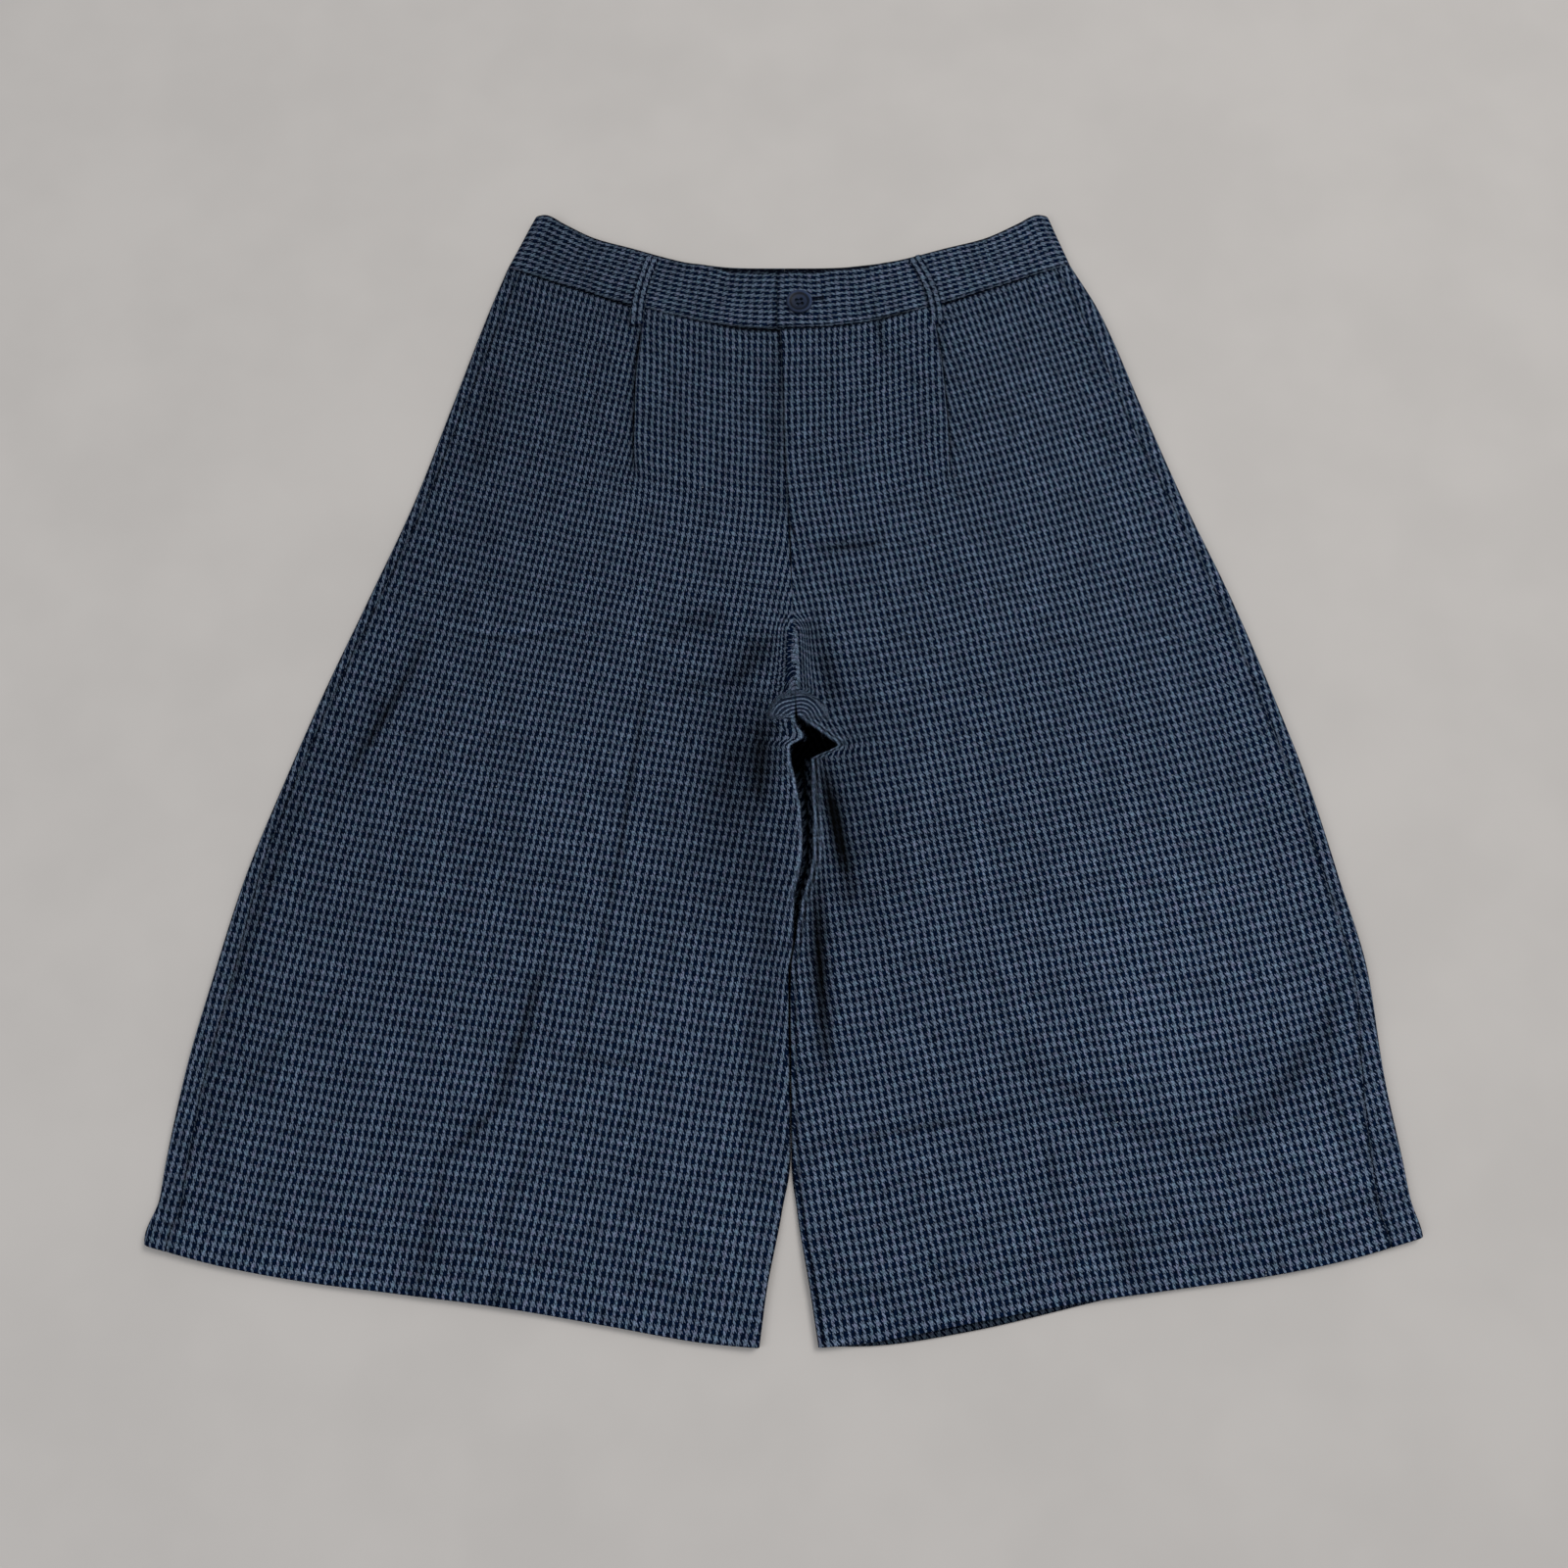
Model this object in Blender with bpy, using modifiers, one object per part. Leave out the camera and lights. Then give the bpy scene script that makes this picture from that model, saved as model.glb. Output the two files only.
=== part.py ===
"""Pleated wide-leg shorts laid flat, front up, waist towards +Y.

Millimetres in the tables, metres in the scene.  +X is the wearer's left, +Z is up, and z = 0 is
the surface that the shorts lie on.  Each leg is a flat tube: the back panel lies on the surface and
wraps round the outer fold to the side seam, and the front panel lies over it and curls down at the
inner leg.  Every cloth panel is a grid of sections, computed row by row from the waist seam down,
with a Solidify modifier for the cloth's thickness.
"""
from collections import namedtuple
import math

import bmesh
import bpy
import numpy as np

MM = 0.001

# Cloth
CLOTH = 1.2
BAND = 2.6
LOOP = 1.6
GAP = 0.3
WAIST_SEAM_GAP = 0.4

# Laid heights of the cloth's middle layer above the surface
BACK_LEVEL = CLOTH / 2
LEG_LEVEL = 3.0
WAIST_LIFT = 0.6
WAIST_LIFT_REACH = 50.0
INNER_ROLL = 0.8
INNER_ROLL_REACH = 26.0
HEM_LIFT = 2.2
HEM_LIFT_START = 78.0
HEM_LIFT_END = 38.0

# Outer fold, where the back panel wraps on to the front
SIDE_RADIUS = 3.0
SIDE_RISE_REACH = 38.0

# Inner leg, where the front panel curls down on to the back panel
CURL_ARC = 3.2
CURL_TOP = 24.0
CURL_FULL = -4.0
CURL_TURN = 90.0
HEM_CURL_TURN = 52.0

# Pleat: three layers of cloth that open below the waist seam
PLEAT_DEPTH = 15.0
PLEAT_MIN_DEPTH = 0.8
PLEAT_CLOSED = 88.0
PLEAT_OPEN = 136.0
PLEAT_RADIUS = (CLOTH + GAP) / 2
PLEAT_LEVEL = 2.5
PLEAT_LEVEL_START = 60.0
PLEAT_LEVEL_REACH = 60.0
PLEAT_SIDE_REACH = 36.0
PLEAT_CLIMB_SHARE = 0.4
PLEAT_SPREAD_START = 108.0
PLEAT_SPREAD_REACH = 80.0

# Fly: the wearer's left front laps over the right one
FLY_LIFT = CLOTH + 2 * GAP
FLY_WAIST_LIFT = 1.2
FLY_WAIST_REACH = 34.0
FLY_LAP = 25.0
FLY_SLOPE = 36.0
FLY_FOOT = 128.0
FLY_FADE = 30.0

# Hem, turned up inside the leg
HEM_DEPTH = 28.0
HEM_RADIUS = (CLOTH + GAP) / 2
HEM_EDGE = HEM_RADIUS + CLOTH / 2
BACK_HEM_PEEK = 4.5
BACK_HEM_PEEK_START = 26.0
BACK_HEM_PEEK_WIDTH = 166.0
BACK_HEM_PEEK_REACH = 90.0

# Height in the tables of the laid garment's middle, which is the scene's origin
MIDDLE_HEIGHT = -1.0

# Heights of the rows along the centre line
WAIST_CENTRE = 284.8
PLEAT_ZONE_END = 150.0
FLY_END = 130.0
CROTCH_START = 30.0
CROTCH_END = -36.0
HEM_CENTRE = -377.0

# Smallest turn of a bend, in radians: nearly flat
MIN_TURN = 0.02

# Grid columns
CENTRE_STEPS = 7
BEND_STEPS = 4
SIDE_STEPS = 6
CURL_STEPS = 3
BACK_STEPS = 7
FOLD_STEPS = 6
WRAP_STEPS = 2

# Outline of the laid garment: distance out from the middle to each outer fold, and how far
# inside the fold each side seam shows
Side = namedtuple("Side", "height right left inset_right inset_left")
SIDES = (
    Side(337.0, 190.3, 197.8, 10.0, 12.0),
    Side(298.0, 203.4, 217.6, 10.0, 12.5),
    Side(226.0, 225.0, 242.4, 8.5, 12.0),
    Side(157.0, 246.0, 266.4, 7.5, 9.0),
    Side(89.0, 271.4, 292.6, 7.0, 8.0),
    Side(24.0, 296.2, 314.4, 7.0, 9.0),
    Side(-39.0, 318.0, 333.2, 7.0, 9.5),
    Side(-100.0, 337.2, 347.2, 9.0, 9.0),
    Side(-159.0, 350.6, 359.4, 12.0, 9.5),
    Side(-216.0, 362.0, 362.8, 12.5, 13.5),
    Side(-272.0, 369.0, 369.6, 13.5, 19.0),
    Side(-292.0, 370.6, 371.8, 14.0, 20.0),
    Side(-314.0, 377.2, 377.0, 14.0, 20.0),
    Side(-324.0, 376.0, 376.0, 14.0, 20.0),
)

# Inner edges of the two fronts, the line where the two backs meet, and how much of the space
# between the fronts the backs fill
Inner = namedtuple("Inner", "height right left middle fill")
INNERS = (
    Inner(284.8, 19.5, -2.6, 0.5, 1.0),
    Inner(250.0, 19.5, -1.2, 1.0, 1.0),
    Inner(190.0, 16.5, 1.2, 2.5, 1.0),
    Inner(160.0, 10.5, 2.6, 3.4, 1.0),
    Inner(136.0, 3.7, 4.0, 3.9, 1.0),
    Inner(70.0, 5.9, 6.2, 6.1, 1.0),
    Inner(24.0, 7.1, 7.5, 7.3, 1.0),
    Inner(10.0, 7.1, 8.4, 7.7, 1.0),
    Inner(1.0, 9.2, 18.5, 12.5, 1.0),
    Inner(-5.5, 13.4, 26.5, 15.0, 1.0),
    Inner(-12.5, 4.4, 33.8, 15.0, 1.0),
    Inner(-21.5, 5.0, 16.8, 12.5, 1.0),
    Inner(-40.0, 8.8, 17.2, 13.2, 1.0),
    Inner(-60.0, 11.6, 18.0, 14.8, 1.0),
    Inner(-80.0, 12.0, 17.8, 14.9, 1.0),
    Inner(-95.0, 10.3, 15.6, 13.0, 1.0),
    Inner(-110.0, 6.8, 11.2, 9.0, 1.0),
    Inner(-136.0, 6.0, 6.8, 6.4, 1.0),
    Inner(-160.0, 3.0, 3.7, 3.3, 1.0),
    Inner(-264.0, 3.8, 4.6, 4.2, 0.6),
    Inner(-300.0, -1.2, 7.8, 3.4, 0.0),
    Inner(-345.0, -10.0, 15.2, 2.6, 0.0),
    Inner(-377.0, -14.3, 20.0, 2.8, 0.0),
)

# How far each row climbs from the centre line to the outer fold
Climb = namedtuple("Climb", "height right left")
CLIMBS = (
    Climb(284.8, 46.8, 50.0),
    Climb(12.0, 52.0, 53.5),
    Climb(-377.0, 58.5, 63.0),
)

# Shape of a row between the centre line and the outer fold, at the waist seam and at the hem
RowShape = namedtuple("RowShape", "across waist hem")
ROW_SHAPES = (
    RowShape(0.0, 0.0, 0.0),
    RowShape(0.12, 0.02, 0.06),
    RowShape(0.28, 0.12, 0.23),
    RowShape(0.45, 0.30, 0.41),
    RowShape(0.60, 0.48, 0.53),
    RowShape(0.75, 0.69, 0.65),
    RowShape(0.88, 0.86, 0.80),
    RowShape(1.0, 1.0, 1.0),
)

# Top edge of the waistband from the centre to the side fold
BandTop = namedtuple("BandTop", "across front back")
BAND_TOPS = (
    BandTop(0.0, 331.8, 335.0),
    BandTop(0.2, 332.8, 335.2),
    BandTop(0.4, 338.4, 339.8),
    BandTop(0.6, 348.2, 348.4),
    BandTop(0.75, 356.2, 356.2),
    BandTop(0.88, 367.6, 367.6),
    BandTop(0.96, 374.4, 374.4),
    BandTop(1.0, 372.6, 372.6),
)
BAND_TOP_RIGHT = 174.0
BAND_TOP_LEFT = 185.0
BAND_RADIUS = 2.2
BAND_RISE_REACH = 30.0
BAND_FRONT_LEVEL = BAND + GAP + BAND / 2
BAND_LAP_END = 27.0
BAND_LAP_START = -4.6
BAND_LAP_FLAT = 29.0
BAND_LAP_SLOPE = 34.0
BAND_FRONT_STEPS = 15
BAND_BACK_STEPS = 10
BAND_ROWS = 4

# Visible fold line of each pleat
Pleat = namedtuple("Pleat", "height right left")
PLEATS = (
    Pleat(310.0, 97.0, 101.0),
    Pleat(285.0, 98.0, 105.0),
    Pleat(246.0, 101.0, 109.0),
    Pleat(186.0, 100.5, 111.5),
    Pleat(120.0, 100.0, 112.0),
)

# Largest folds of the two fronts: ridges from one point to another
FOLD_END_SHAPE = 0.8
FOLD_SEAM_FADE = 20.0
Fold = namedtuple("Fold", "x0 y0 x1 y1 width height")
FOLDS = (
    Fold(-103.0, 175.0, -128.0, 20.0, 17.0, 1.1),
    Fold(114.0, 175.0, 138.0, 10.0, 17.0, 1.0),
    Fold(-140.0, -158.0, -196.0, -258.0, 15.0, 1.9),
    Fold(-232.0, 60.0, -266.0, -70.0, 18.0, 1.3),
    Fold(-52.0, -60.0, -70.0, -250.0, 22.0, 1.2),
    Fold(16.0, -150.0, 15.0, -262.0, 9.0, 1.4),
    Fold(34.0, 44.0, 54.0, -40.0, 10.0, 1.6),
    Fold(-18.0, 40.0, -24.0, -30.0, 9.0, 1.3),
    Fold(84.0, -20.0, 96.0, -240.0, 22.0, 1.2),
    Fold(178.0, -250.0, 200.0, -320.0, 14.0, 1.1),
    Fold(240.0, 40.0, 292.0, -150.0, 18.0, 1.3),
    Fold(306.0, -185.0, 322.0, -275.0, 12.0, 1.0),
    Fold(-300.0, -150.0, -322.0, -290.0, 14.0, 1.2),
)

# Belt loops, from the band's top edge to below its lower edge
LOOP_WIDTH = 9.0
LOOP_BOW = 0.7
LOOP_FOOT_LIFT = 0.7
LOOP_CROWN = 0.25
LOOP_STEPS = 9
LOOP_SHARES = (-0.5, -0.32, 0.0, 0.32, 0.5)
Loop = namedtuple("Loop", "name x_top y_top x_middle x_bottom y_bottom")
LOOPS = (
    Loop("belt_loop_right", -90.6, 341.5, -98.4, -101.0, 289.0),
    Loop("belt_loop_left", 90.0, 341.5, 101.4, 105.0, 289.0),
)

# Button
BUTTON_X = 10.5
BUTTON_Y = 303.8
BUTTON_HOLE_RADIUS = 0.9
BUTTON_HOLE_OFFSET = 1.55
BUTTON_TURN = 12.0
BUTTON_SEGMENTS = 28
BUTTON_HOLE_SEGMENTS = 8
BUTTON_PROFILE = (
    (0.0, 0.0),
    (5.6, 0.0),
    (8.2, 0.7),
    (9.0, 1.5),
    (8.7, 2.3),
    (7.9, 2.7),
    (6.9, 2.5),
    (5.9, 1.9),
    (0.0, 1.7),
)

CLOTH_COLOUR = (0.024, 0.036, 0.059, 1.0)
BUTTON_COLOUR = (0.013, 0.020, 0.034, 1.0)

RIGHT = -1
LEFT = 1


def column(rows, name):
    """One named column of a table as an array."""
    return np.array([getattr(row, name) for row in rows], dtype=float)


def curve(rows, key, name, at):
    """Smooth curve through a table's rows: cubic pieces with slopes that never overshoot."""
    x = column(rows, key)
    y = column(rows, name)
    order = np.argsort(x)
    x, y = x[order], y[order]
    step = np.diff(x)
    slope = np.diff(y) / step
    tangent = np.zeros(len(x))
    same_way = slope[1:] * slope[:-1] > 0.0
    harmonic = 2.0 * slope[1:] * slope[:-1] / np.where(same_way, slope[1:] + slope[:-1], 1.0)
    tangent[1:-1] = np.where(same_way, harmonic, 0.0)
    tangent[0], tangent[-1] = slope[0], slope[-1]
    at = np.clip(np.asarray(at, dtype=float), x[0], x[-1])
    piece = np.clip(np.searchsorted(x, at) - 1, 0, len(step) - 1)
    width = step[piece]
    t = (at - x[piece]) / width
    start = (1.0 + 2.0 * t) * (1.0 - t) ** 2 * y[piece] + t * (1.0 - t) ** 2 * width * tangent[piece]
    end = t * t * (3.0 - 2.0 * t) * y[piece + 1] + t * t * (t - 1.0) * width * tangent[piece + 1]
    return start + end


def ease(value):
    """0 below 0, 1 above 1, and a smooth step between."""
    t = np.clip(value, 0.0, 1.0)
    return t * t * (3.0 - 2.0 * t)


def row_heights():
    """Heights of the rows along the centre line, closer where the pleats and the crotch are."""
    zones = (
        (WAIST_CENTRE, PLEAT_ZONE_END, 10),
        (PLEAT_ZONE_END, FLY_END, 2),
        (FLY_END, CROTCH_START, 3),
        (CROTCH_START, CROTCH_END, 11),
        (CROTCH_END, HEM_CENTRE + HEM_DEPTH, 9),
        (HEM_CENTRE + HEM_DEPTH, HEM_CENTRE + HEM_EDGE, 2),
    )
    parts = [np.linspace(top, foot, steps, endpoint=False) for top, foot, steps in zones]
    return np.concatenate(parts + [np.array([HEM_CENTRE + HEM_EDGE])])


def side_name(side):
    """Column name of one side."""
    return "right" if side == RIGHT else "left"


def outline_x(side, height):
    """Distance from the middle to the outer fold at a height, signed."""
    return side * curve(SIDES, "height", side_name(side), height)


def seam_x(side, height):
    """Where the side seam shows at a height, signed."""
    inset = curve(SIDES, "height", "inset_" + side_name(side), height)
    return outline_x(side, height) - side * inset


def side_height(side, centre):
    """Height at the outer fold of the row that crosses the centre line at a height."""
    return centre + curve(CLIMBS, "height", side_name(side), centre)


def row_y(side, centre, x):
    """Height of the points of a row: its climb from the centre line to the outer fold."""
    middle = curve(INNERS, "height", "middle", centre)
    outer = outline_x(side, side_height(side, centre))
    across = np.clip((x - middle) / (outer - middle), 0.0, 1.0)
    down = (WAIST_CENTRE - centre) / (WAIST_CENTRE - HEM_CENTRE)
    at_waist = curve(ROW_SHAPES, "across", "waist", across)
    at_hem = curve(ROW_SHAPES, "across", "hem", across)
    shape = (1.0 - ease(down)) * at_waist + ease(down) * at_hem
    return centre + (side_height(side, centre) - centre) * shape


def hem_share(centre):
    """0 in the leg, 1 over the turned hem, and a smooth rise between."""
    to_hem = centre - HEM_CENTRE
    return ease((HEM_LIFT_START - to_hem) / (HEM_LIFT_START - HEM_LIFT_END))


def base_level(centre):
    """Resting height of the front layer: raised by the waistband and by the turned hem."""
    waist = WAIST_LIFT * (1.0 - ease((WAIST_CENTRE - centre) / WAIST_LIFT_REACH))
    return LEG_LEVEL + waist + HEM_LIFT * hem_share(centre)


def upper_level(side, centre, x):
    """Height of the upper layer near the outer fold, which stands as high as the fold is round."""
    base = base_level(centre)
    fold_centre = abs(outline_x(side, side_height(side, centre))) - SIDE_RADIUS - CLOTH / 2
    inward = fold_centre - np.abs(x)
    top = 2.0 * SIDE_RADIUS + BACK_LEVEL
    return base + (top - base) * (1.0 - ease(inward / SIDE_RISE_REACH))


def fold_field(x, y):
    """Sum of the large folds: each is a rounded ridge that fades out towards its two ends."""
    total = np.zeros_like(x)
    for fold in FOLDS:
        length = math.hypot(fold.x1 - fold.x0, fold.y1 - fold.y0)
        ux, uy = (fold.x1 - fold.x0) / length, (fold.y1 - fold.y0) / length
        along = ((x - fold.x0) * ux + (y - fold.y0) * uy) / length
        across = (x - fold.x0) * uy - (y - fold.y0) * ux
        ends = np.sin(np.pi * np.clip(along, 0.0, 1.0)) ** FOLD_END_SHAPE
        total += fold.height * ends * np.exp(-((across / fold.width) ** 2))
    return total


def pleat_angle(below):
    """How far the pleat's folds turn, 180 degrees while closed, 0 once it has opened."""
    return math.pi * (1.0 - ease((below - PLEAT_CLOSED) / (PLEAT_OPEN - PLEAT_CLOSED)))


def pleat_depth(below):
    """Length of the pleat's hidden middle layer, which shortens down to nothing."""
    return max(PLEAT_DEPTH * (1.0 - below / PLEAT_CLOSED), PLEAT_MIN_DEPTH)


def pleat_bends(edge, depth, angle):
    """The two bends of a pleat as (distance, drop), its visible edge at a distance."""
    arc = math.pi * PLEAT_RADIUS
    turns = np.linspace(0.0, angle, BEND_STEPS + 1)
    radius = arc / angle
    reach = radius * (1.0 if angle > math.pi / 2 else math.sin(angle))
    start = edge - CLOTH / 2 - reach
    first = np.stack([start + radius * np.sin(turns), radius * (1.0 - np.cos(turns))], 1)
    under = first[-1] + depth * np.array([math.cos(angle), math.sin(angle)])
    back = turns[::-1]
    second_x = under[0] + radius * (math.sin(angle) - np.sin(back))
    second_drop = under[1] + radius * (np.cos(back) - math.cos(angle))
    return start, np.concatenate([first, np.stack([second_x, second_drop], 1)])


def curled_edge(centre):
    """The front's inner edge as it curls down: distances, drops and where the curl ends."""
    curl = float(ease((CURL_TOP - centre) / (CURL_TOP - CURL_FULL)))
    full_turn = CURL_TURN + (HEM_CURL_TURN - CURL_TURN) * float(hem_share(centre))
    turn = max(curl * math.radians(full_turn), MIN_TURN)
    radius = CURL_ARC / turn
    joint = radius * math.sin(turn) + curl * CLOTH / 2
    angles = np.linspace(turn, 0.0, CURL_STEPS + 1)[:-1]
    return joint - radius * np.sin(angles), radius * (1.0 - np.cos(angles)), joint, curl


def front_row(side, centre):
    """One section of a front panel from its inner edge to the side seam, as x, y, z."""
    inner = float(curve(INNERS, "height", side_name(side), centre))
    seam = float(seam_x(side, side_height(side, centre)))
    curl_distance, curl_drop, joint, curl = curled_edge(centre)

    below = WAIST_CENTRE - centre
    fold_y = centre + (side_height(side, centre) - centre) * PLEAT_CLIMB_SHARE
    fold_x = side * float(curve(PLEATS, "height", side_name(side), fold_y))
    edge = abs(fold_x - inner)
    start, bends = pleat_bends(edge, pleat_depth(below), max(pleat_angle(below), MIN_TURN))
    centre_d = np.linspace(joint, start, CENTRE_STEPS + 1)[:-1]
    side_d = np.linspace(bends[-1, 0], abs(seam - inner), SIDE_STEPS + 1)[1:]
    pleated = np.concatenate([centre_d, bends[:, 0], side_d])
    even = np.linspace(joint, abs(seam - inner), len(pleated))
    spread = float(ease((below - PLEAT_SPREAD_START) / PLEAT_SPREAD_REACH))
    distance = (1.0 - spread) * pleated + spread * even
    x = inner + side * distance

    roll = INNER_ROLL * curl * (1.0 - ease(distance / INNER_ROLL_REACH))
    level = upper_level(side, centre, x) + roll
    levelled = float(ease((below - PLEAT_LEVEL_START) / PLEAT_LEVEL_REACH))
    low = PLEAT_LEVEL + (base_level(centre) - PLEAT_LEVEL) * levelled
    high = low + bends[-1, 1]
    rise = ease((centre_d - joint) / (start - joint))
    side_rise = ease((side_d - max(edge, bends[-1, 0])) / PLEAT_SIDE_REACH)
    centre_z = level[:CENTRE_STEPS] + (high - level[:CENTRE_STEPS]) * rise
    side_z = low + (level[-SIDE_STEPS:] - low) * side_rise
    pleated_z = np.concatenate([centre_z, high - bends[:, 1], side_z])
    z = (1.0 - spread) * pleated_z + spread * level

    x = np.concatenate([inner + side * curl_distance, x])
    z = np.concatenate([z[0] - curl_drop, z])
    y = row_y(side, centre, x)
    lift = fly_lift(x, centre) if side == LEFT else 0.0
    seam_fade = ease((abs(seam) - np.abs(x)) / FOLD_SEAM_FADE)
    return np.stack([x, y, z + lift + fold_field(x, y) * seam_fade], 1)


def fly_lift(x, centre):
    """How far the wearer's left front is raised over the right one."""
    edge = curve(INNERS, "height", "left", centre)
    across = 1.0 - ease((x - edge - FLY_LAP) / FLY_SLOPE)
    down = ease((centre - FLY_FOOT + FLY_FADE) / FLY_FADE)
    waist = FLY_WAIST_LIFT * (1.0 - ease((WAIST_CENTRE - centre) / FLY_WAIST_REACH))
    return (FLY_LIFT + waist) * across * down


def back_inner_x(side, centre):
    """Inner edge of a back panel: it fills the dark gap between the fronts at the crotch."""
    front = curve(INNERS, "height", side_name(side), centre)
    middle = curve(INNERS, "height", "middle", centre)
    fill = curve(INNERS, "height", "fill", centre)
    return front + (middle - front) * fill + side * GAP / 2


def back_row(side, centre):
    """One section of a back panel: flat, round the outer fold, and over to the side seam."""
    inner = float(back_inner_x(side, centre))
    outer = float(outline_x(side, side_height(side, centre)))
    fold_x = outer - side * (SIDE_RADIUS + CLOTH / 2)
    seam = float(seam_x(side, side_height(side, centre))) + side * GAP
    flat_x = np.linspace(inner, fold_x, BACK_STEPS + 1)[:-1]
    turns = np.linspace(-math.pi / 2, math.pi / 2, FOLD_STEPS + 1)
    arc_x = fold_x + side * SIDE_RADIUS * np.cos(turns)
    arc_z = BACK_LEVEL + SIDE_RADIUS * (1.0 + np.sin(turns))
    wrap_x = np.linspace(fold_x, seam, WRAP_STEPS + 1)[1:]
    wrap_z = upper_level(side, centre, wrap_x)
    x = np.concatenate([flat_x, arc_x, wrap_x])
    z = np.concatenate([np.full(BACK_STEPS, BACK_LEVEL), arc_z, wrap_z])
    return np.stack([x, row_y(side, centre, x), z], 1)


def grid_normals(points):
    """Unit normals of a grid, from the cross product of its two directions."""
    down = np.gradient(points, axis=0)
    across = np.gradient(points, axis=1)
    normal = np.cross(across, down)
    return normal / np.linalg.norm(normal, axis=2, keepdims=True)


def turn_hem(points, inward):
    """Adds the hem: a half turn at the lower edge and the doubled cloth inside."""
    foot = points[-1]
    down = foot - points[-2]
    down = down / np.linalg.norm(down, axis=1, keepdims=True)
    rows = []
    for angle in np.linspace(0.0, math.pi, BEND_STEPS + 1)[1:]:
        away = 1.0 - math.cos(angle)
        rows.append(foot + HEM_RADIUS * (away * inward[-1] + math.sin(angle) * down))
    for row in (-2, -3):
        rows.append(points[row] + 2.0 * HEM_RADIUS * inward[row])
    return np.concatenate([points, np.stack(rows)])


def front_panel(side):
    """Grid of a front panel, from the waist seam to the turned hem."""
    points = np.stack([front_row(side, centre) for centre in row_heights()])
    inward = side * grid_normals(points)
    inward = inward * np.where(inward[-1, -1, 2] > 0.0, -1.0, 1.0)
    return turn_hem(points, inward)


def back_panel(side):
    """Grid of a back panel, its hem a little longer on the wearer's left leg."""
    points = np.stack([back_row(side, centre) for centre in row_heights()])
    if side == LEFT:
        across = (points[:, :, 0] - BACK_HEM_PEEK_START) / BACK_HEM_PEEK_WIDTH
        across = np.clip(across, 0.0, 1.0)
        to_hem = points[:, :1, 1] - HEM_CENTRE
        near_hem = ease(1.0 - to_hem / BACK_HEM_PEEK_REACH)
        points[:, :, 1] -= BACK_HEM_PEEK * np.sin(np.pi * across) * near_hem
    inward = side * grid_normals(points)
    inward = inward * np.where(inward[-1, 1, 2] < 0.0, -1.0, 1.0)
    return turn_hem(points, inward)


def waistband(side):
    """Grid of half a waistband: from its front end, round the side fold, to the centre back."""
    top_outer = BAND_TOP_RIGHT if side == RIGHT else BAND_TOP_LEFT
    low_outer = abs(float(outline_x(side, side_height(side, WAIST_CENTRE))))
    start = BAND_LAP_END if side == RIGHT else BAND_LAP_START
    middle = float(curve(INNERS, "height", "middle", WAIST_CENTRE)) + side * GAP / 2
    rows = []
    for share in np.linspace(0.0, 1.0, BAND_ROWS):
        outer = side * (low_outer + (top_outer - low_outer) * share)
        fold_x = outer - side * (BAND_RADIUS + BAND / 2)
        front_x = np.linspace(start, fold_x, BAND_FRONT_STEPS + 1)[:-1]
        turns = np.linspace(math.pi / 2, -math.pi / 2, FOLD_STEPS + 1)
        arc_x = fold_x + side * BAND_RADIUS * np.cos(turns)
        arc_z = BAND / 2 + BAND_RADIUS * (1.0 + np.sin(turns))
        back_x = np.linspace(fold_x, middle, BAND_BACK_STEPS + 1)[1:]
        inward = np.abs(fold_x) - side * front_x
        top = 2.0 * BAND_RADIUS + BAND / 2
        rise = 1.0 - ease(inward / BAND_RISE_REACH)
        front_z = BAND_FRONT_LEVEL + (top - BAND_FRONT_LEVEL) * rise
        if side == LEFT:
            lap = 1.0 - ease((front_x - BAND_LAP_FLAT) / BAND_LAP_SLOPE)
            front_z = front_z + (BAND + GAP) * lap
        x = np.concatenate([front_x, arc_x, back_x])
        z = np.concatenate([front_z, arc_z, np.full(BAND_BACK_STEPS, BAND / 2)])
        low_x = x * low_outer / abs(outer)
        low_y = row_y(side, WAIST_CENTRE, low_x) + WAIST_SEAM_GAP
        across = np.clip(side * x / abs(outer), 0.0, 1.0)
        over = np.concatenate([np.ones(len(front_x)), np.linspace(1.0, 0.0, FOLD_STEPS + 1),
                               np.zeros(BAND_BACK_STEPS)])
        front_top = curve(BAND_TOPS, "across", "front", across)
        back_top = curve(BAND_TOPS, "across", "back", across)
        top_y = over * front_top + (1.0 - over) * back_top
        rows.append(np.stack([x, low_y + (top_y - low_y) * share, z], 1))
    return np.stack(rows)


def belt_loop(loop):
    """Grid of a belt loop: a narrow strip bowed over the waistband."""
    t = np.linspace(0.0, 1.0, LOOP_STEPS)
    bend = 4.0 * (loop.x_middle - (loop.x_top + loop.x_bottom) / 2) * t * (1.0 - t)
    x = loop.x_top + (loop.x_bottom - loop.x_top) * t + bend
    y = loop.y_top + (loop.y_bottom - loop.y_top) * t
    under = BAND_FRONT_LEVEL + BAND / 2 + GAP + LOOP / 2
    z = under + LOOP_BOW * np.sin(np.pi * t) + LOOP_FOOT_LIFT * t
    along = np.stack([np.gradient(x), np.gradient(y)], 1)
    along = along / np.linalg.norm(along, axis=1, keepdims=True)
    across = np.stack([-along[:, 1], along[:, 0]], 1)
    strips = []
    for share in LOOP_SHARES:
        crown = -LOOP_CROWN * (2.0 * share) ** 2
        strips.append(np.stack([x + across[:, 0] * LOOP_WIDTH * share,
                                y + across[:, 1] * LOOP_WIDTH * share, z + crown], 1))
    return np.stack(strips)


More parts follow.
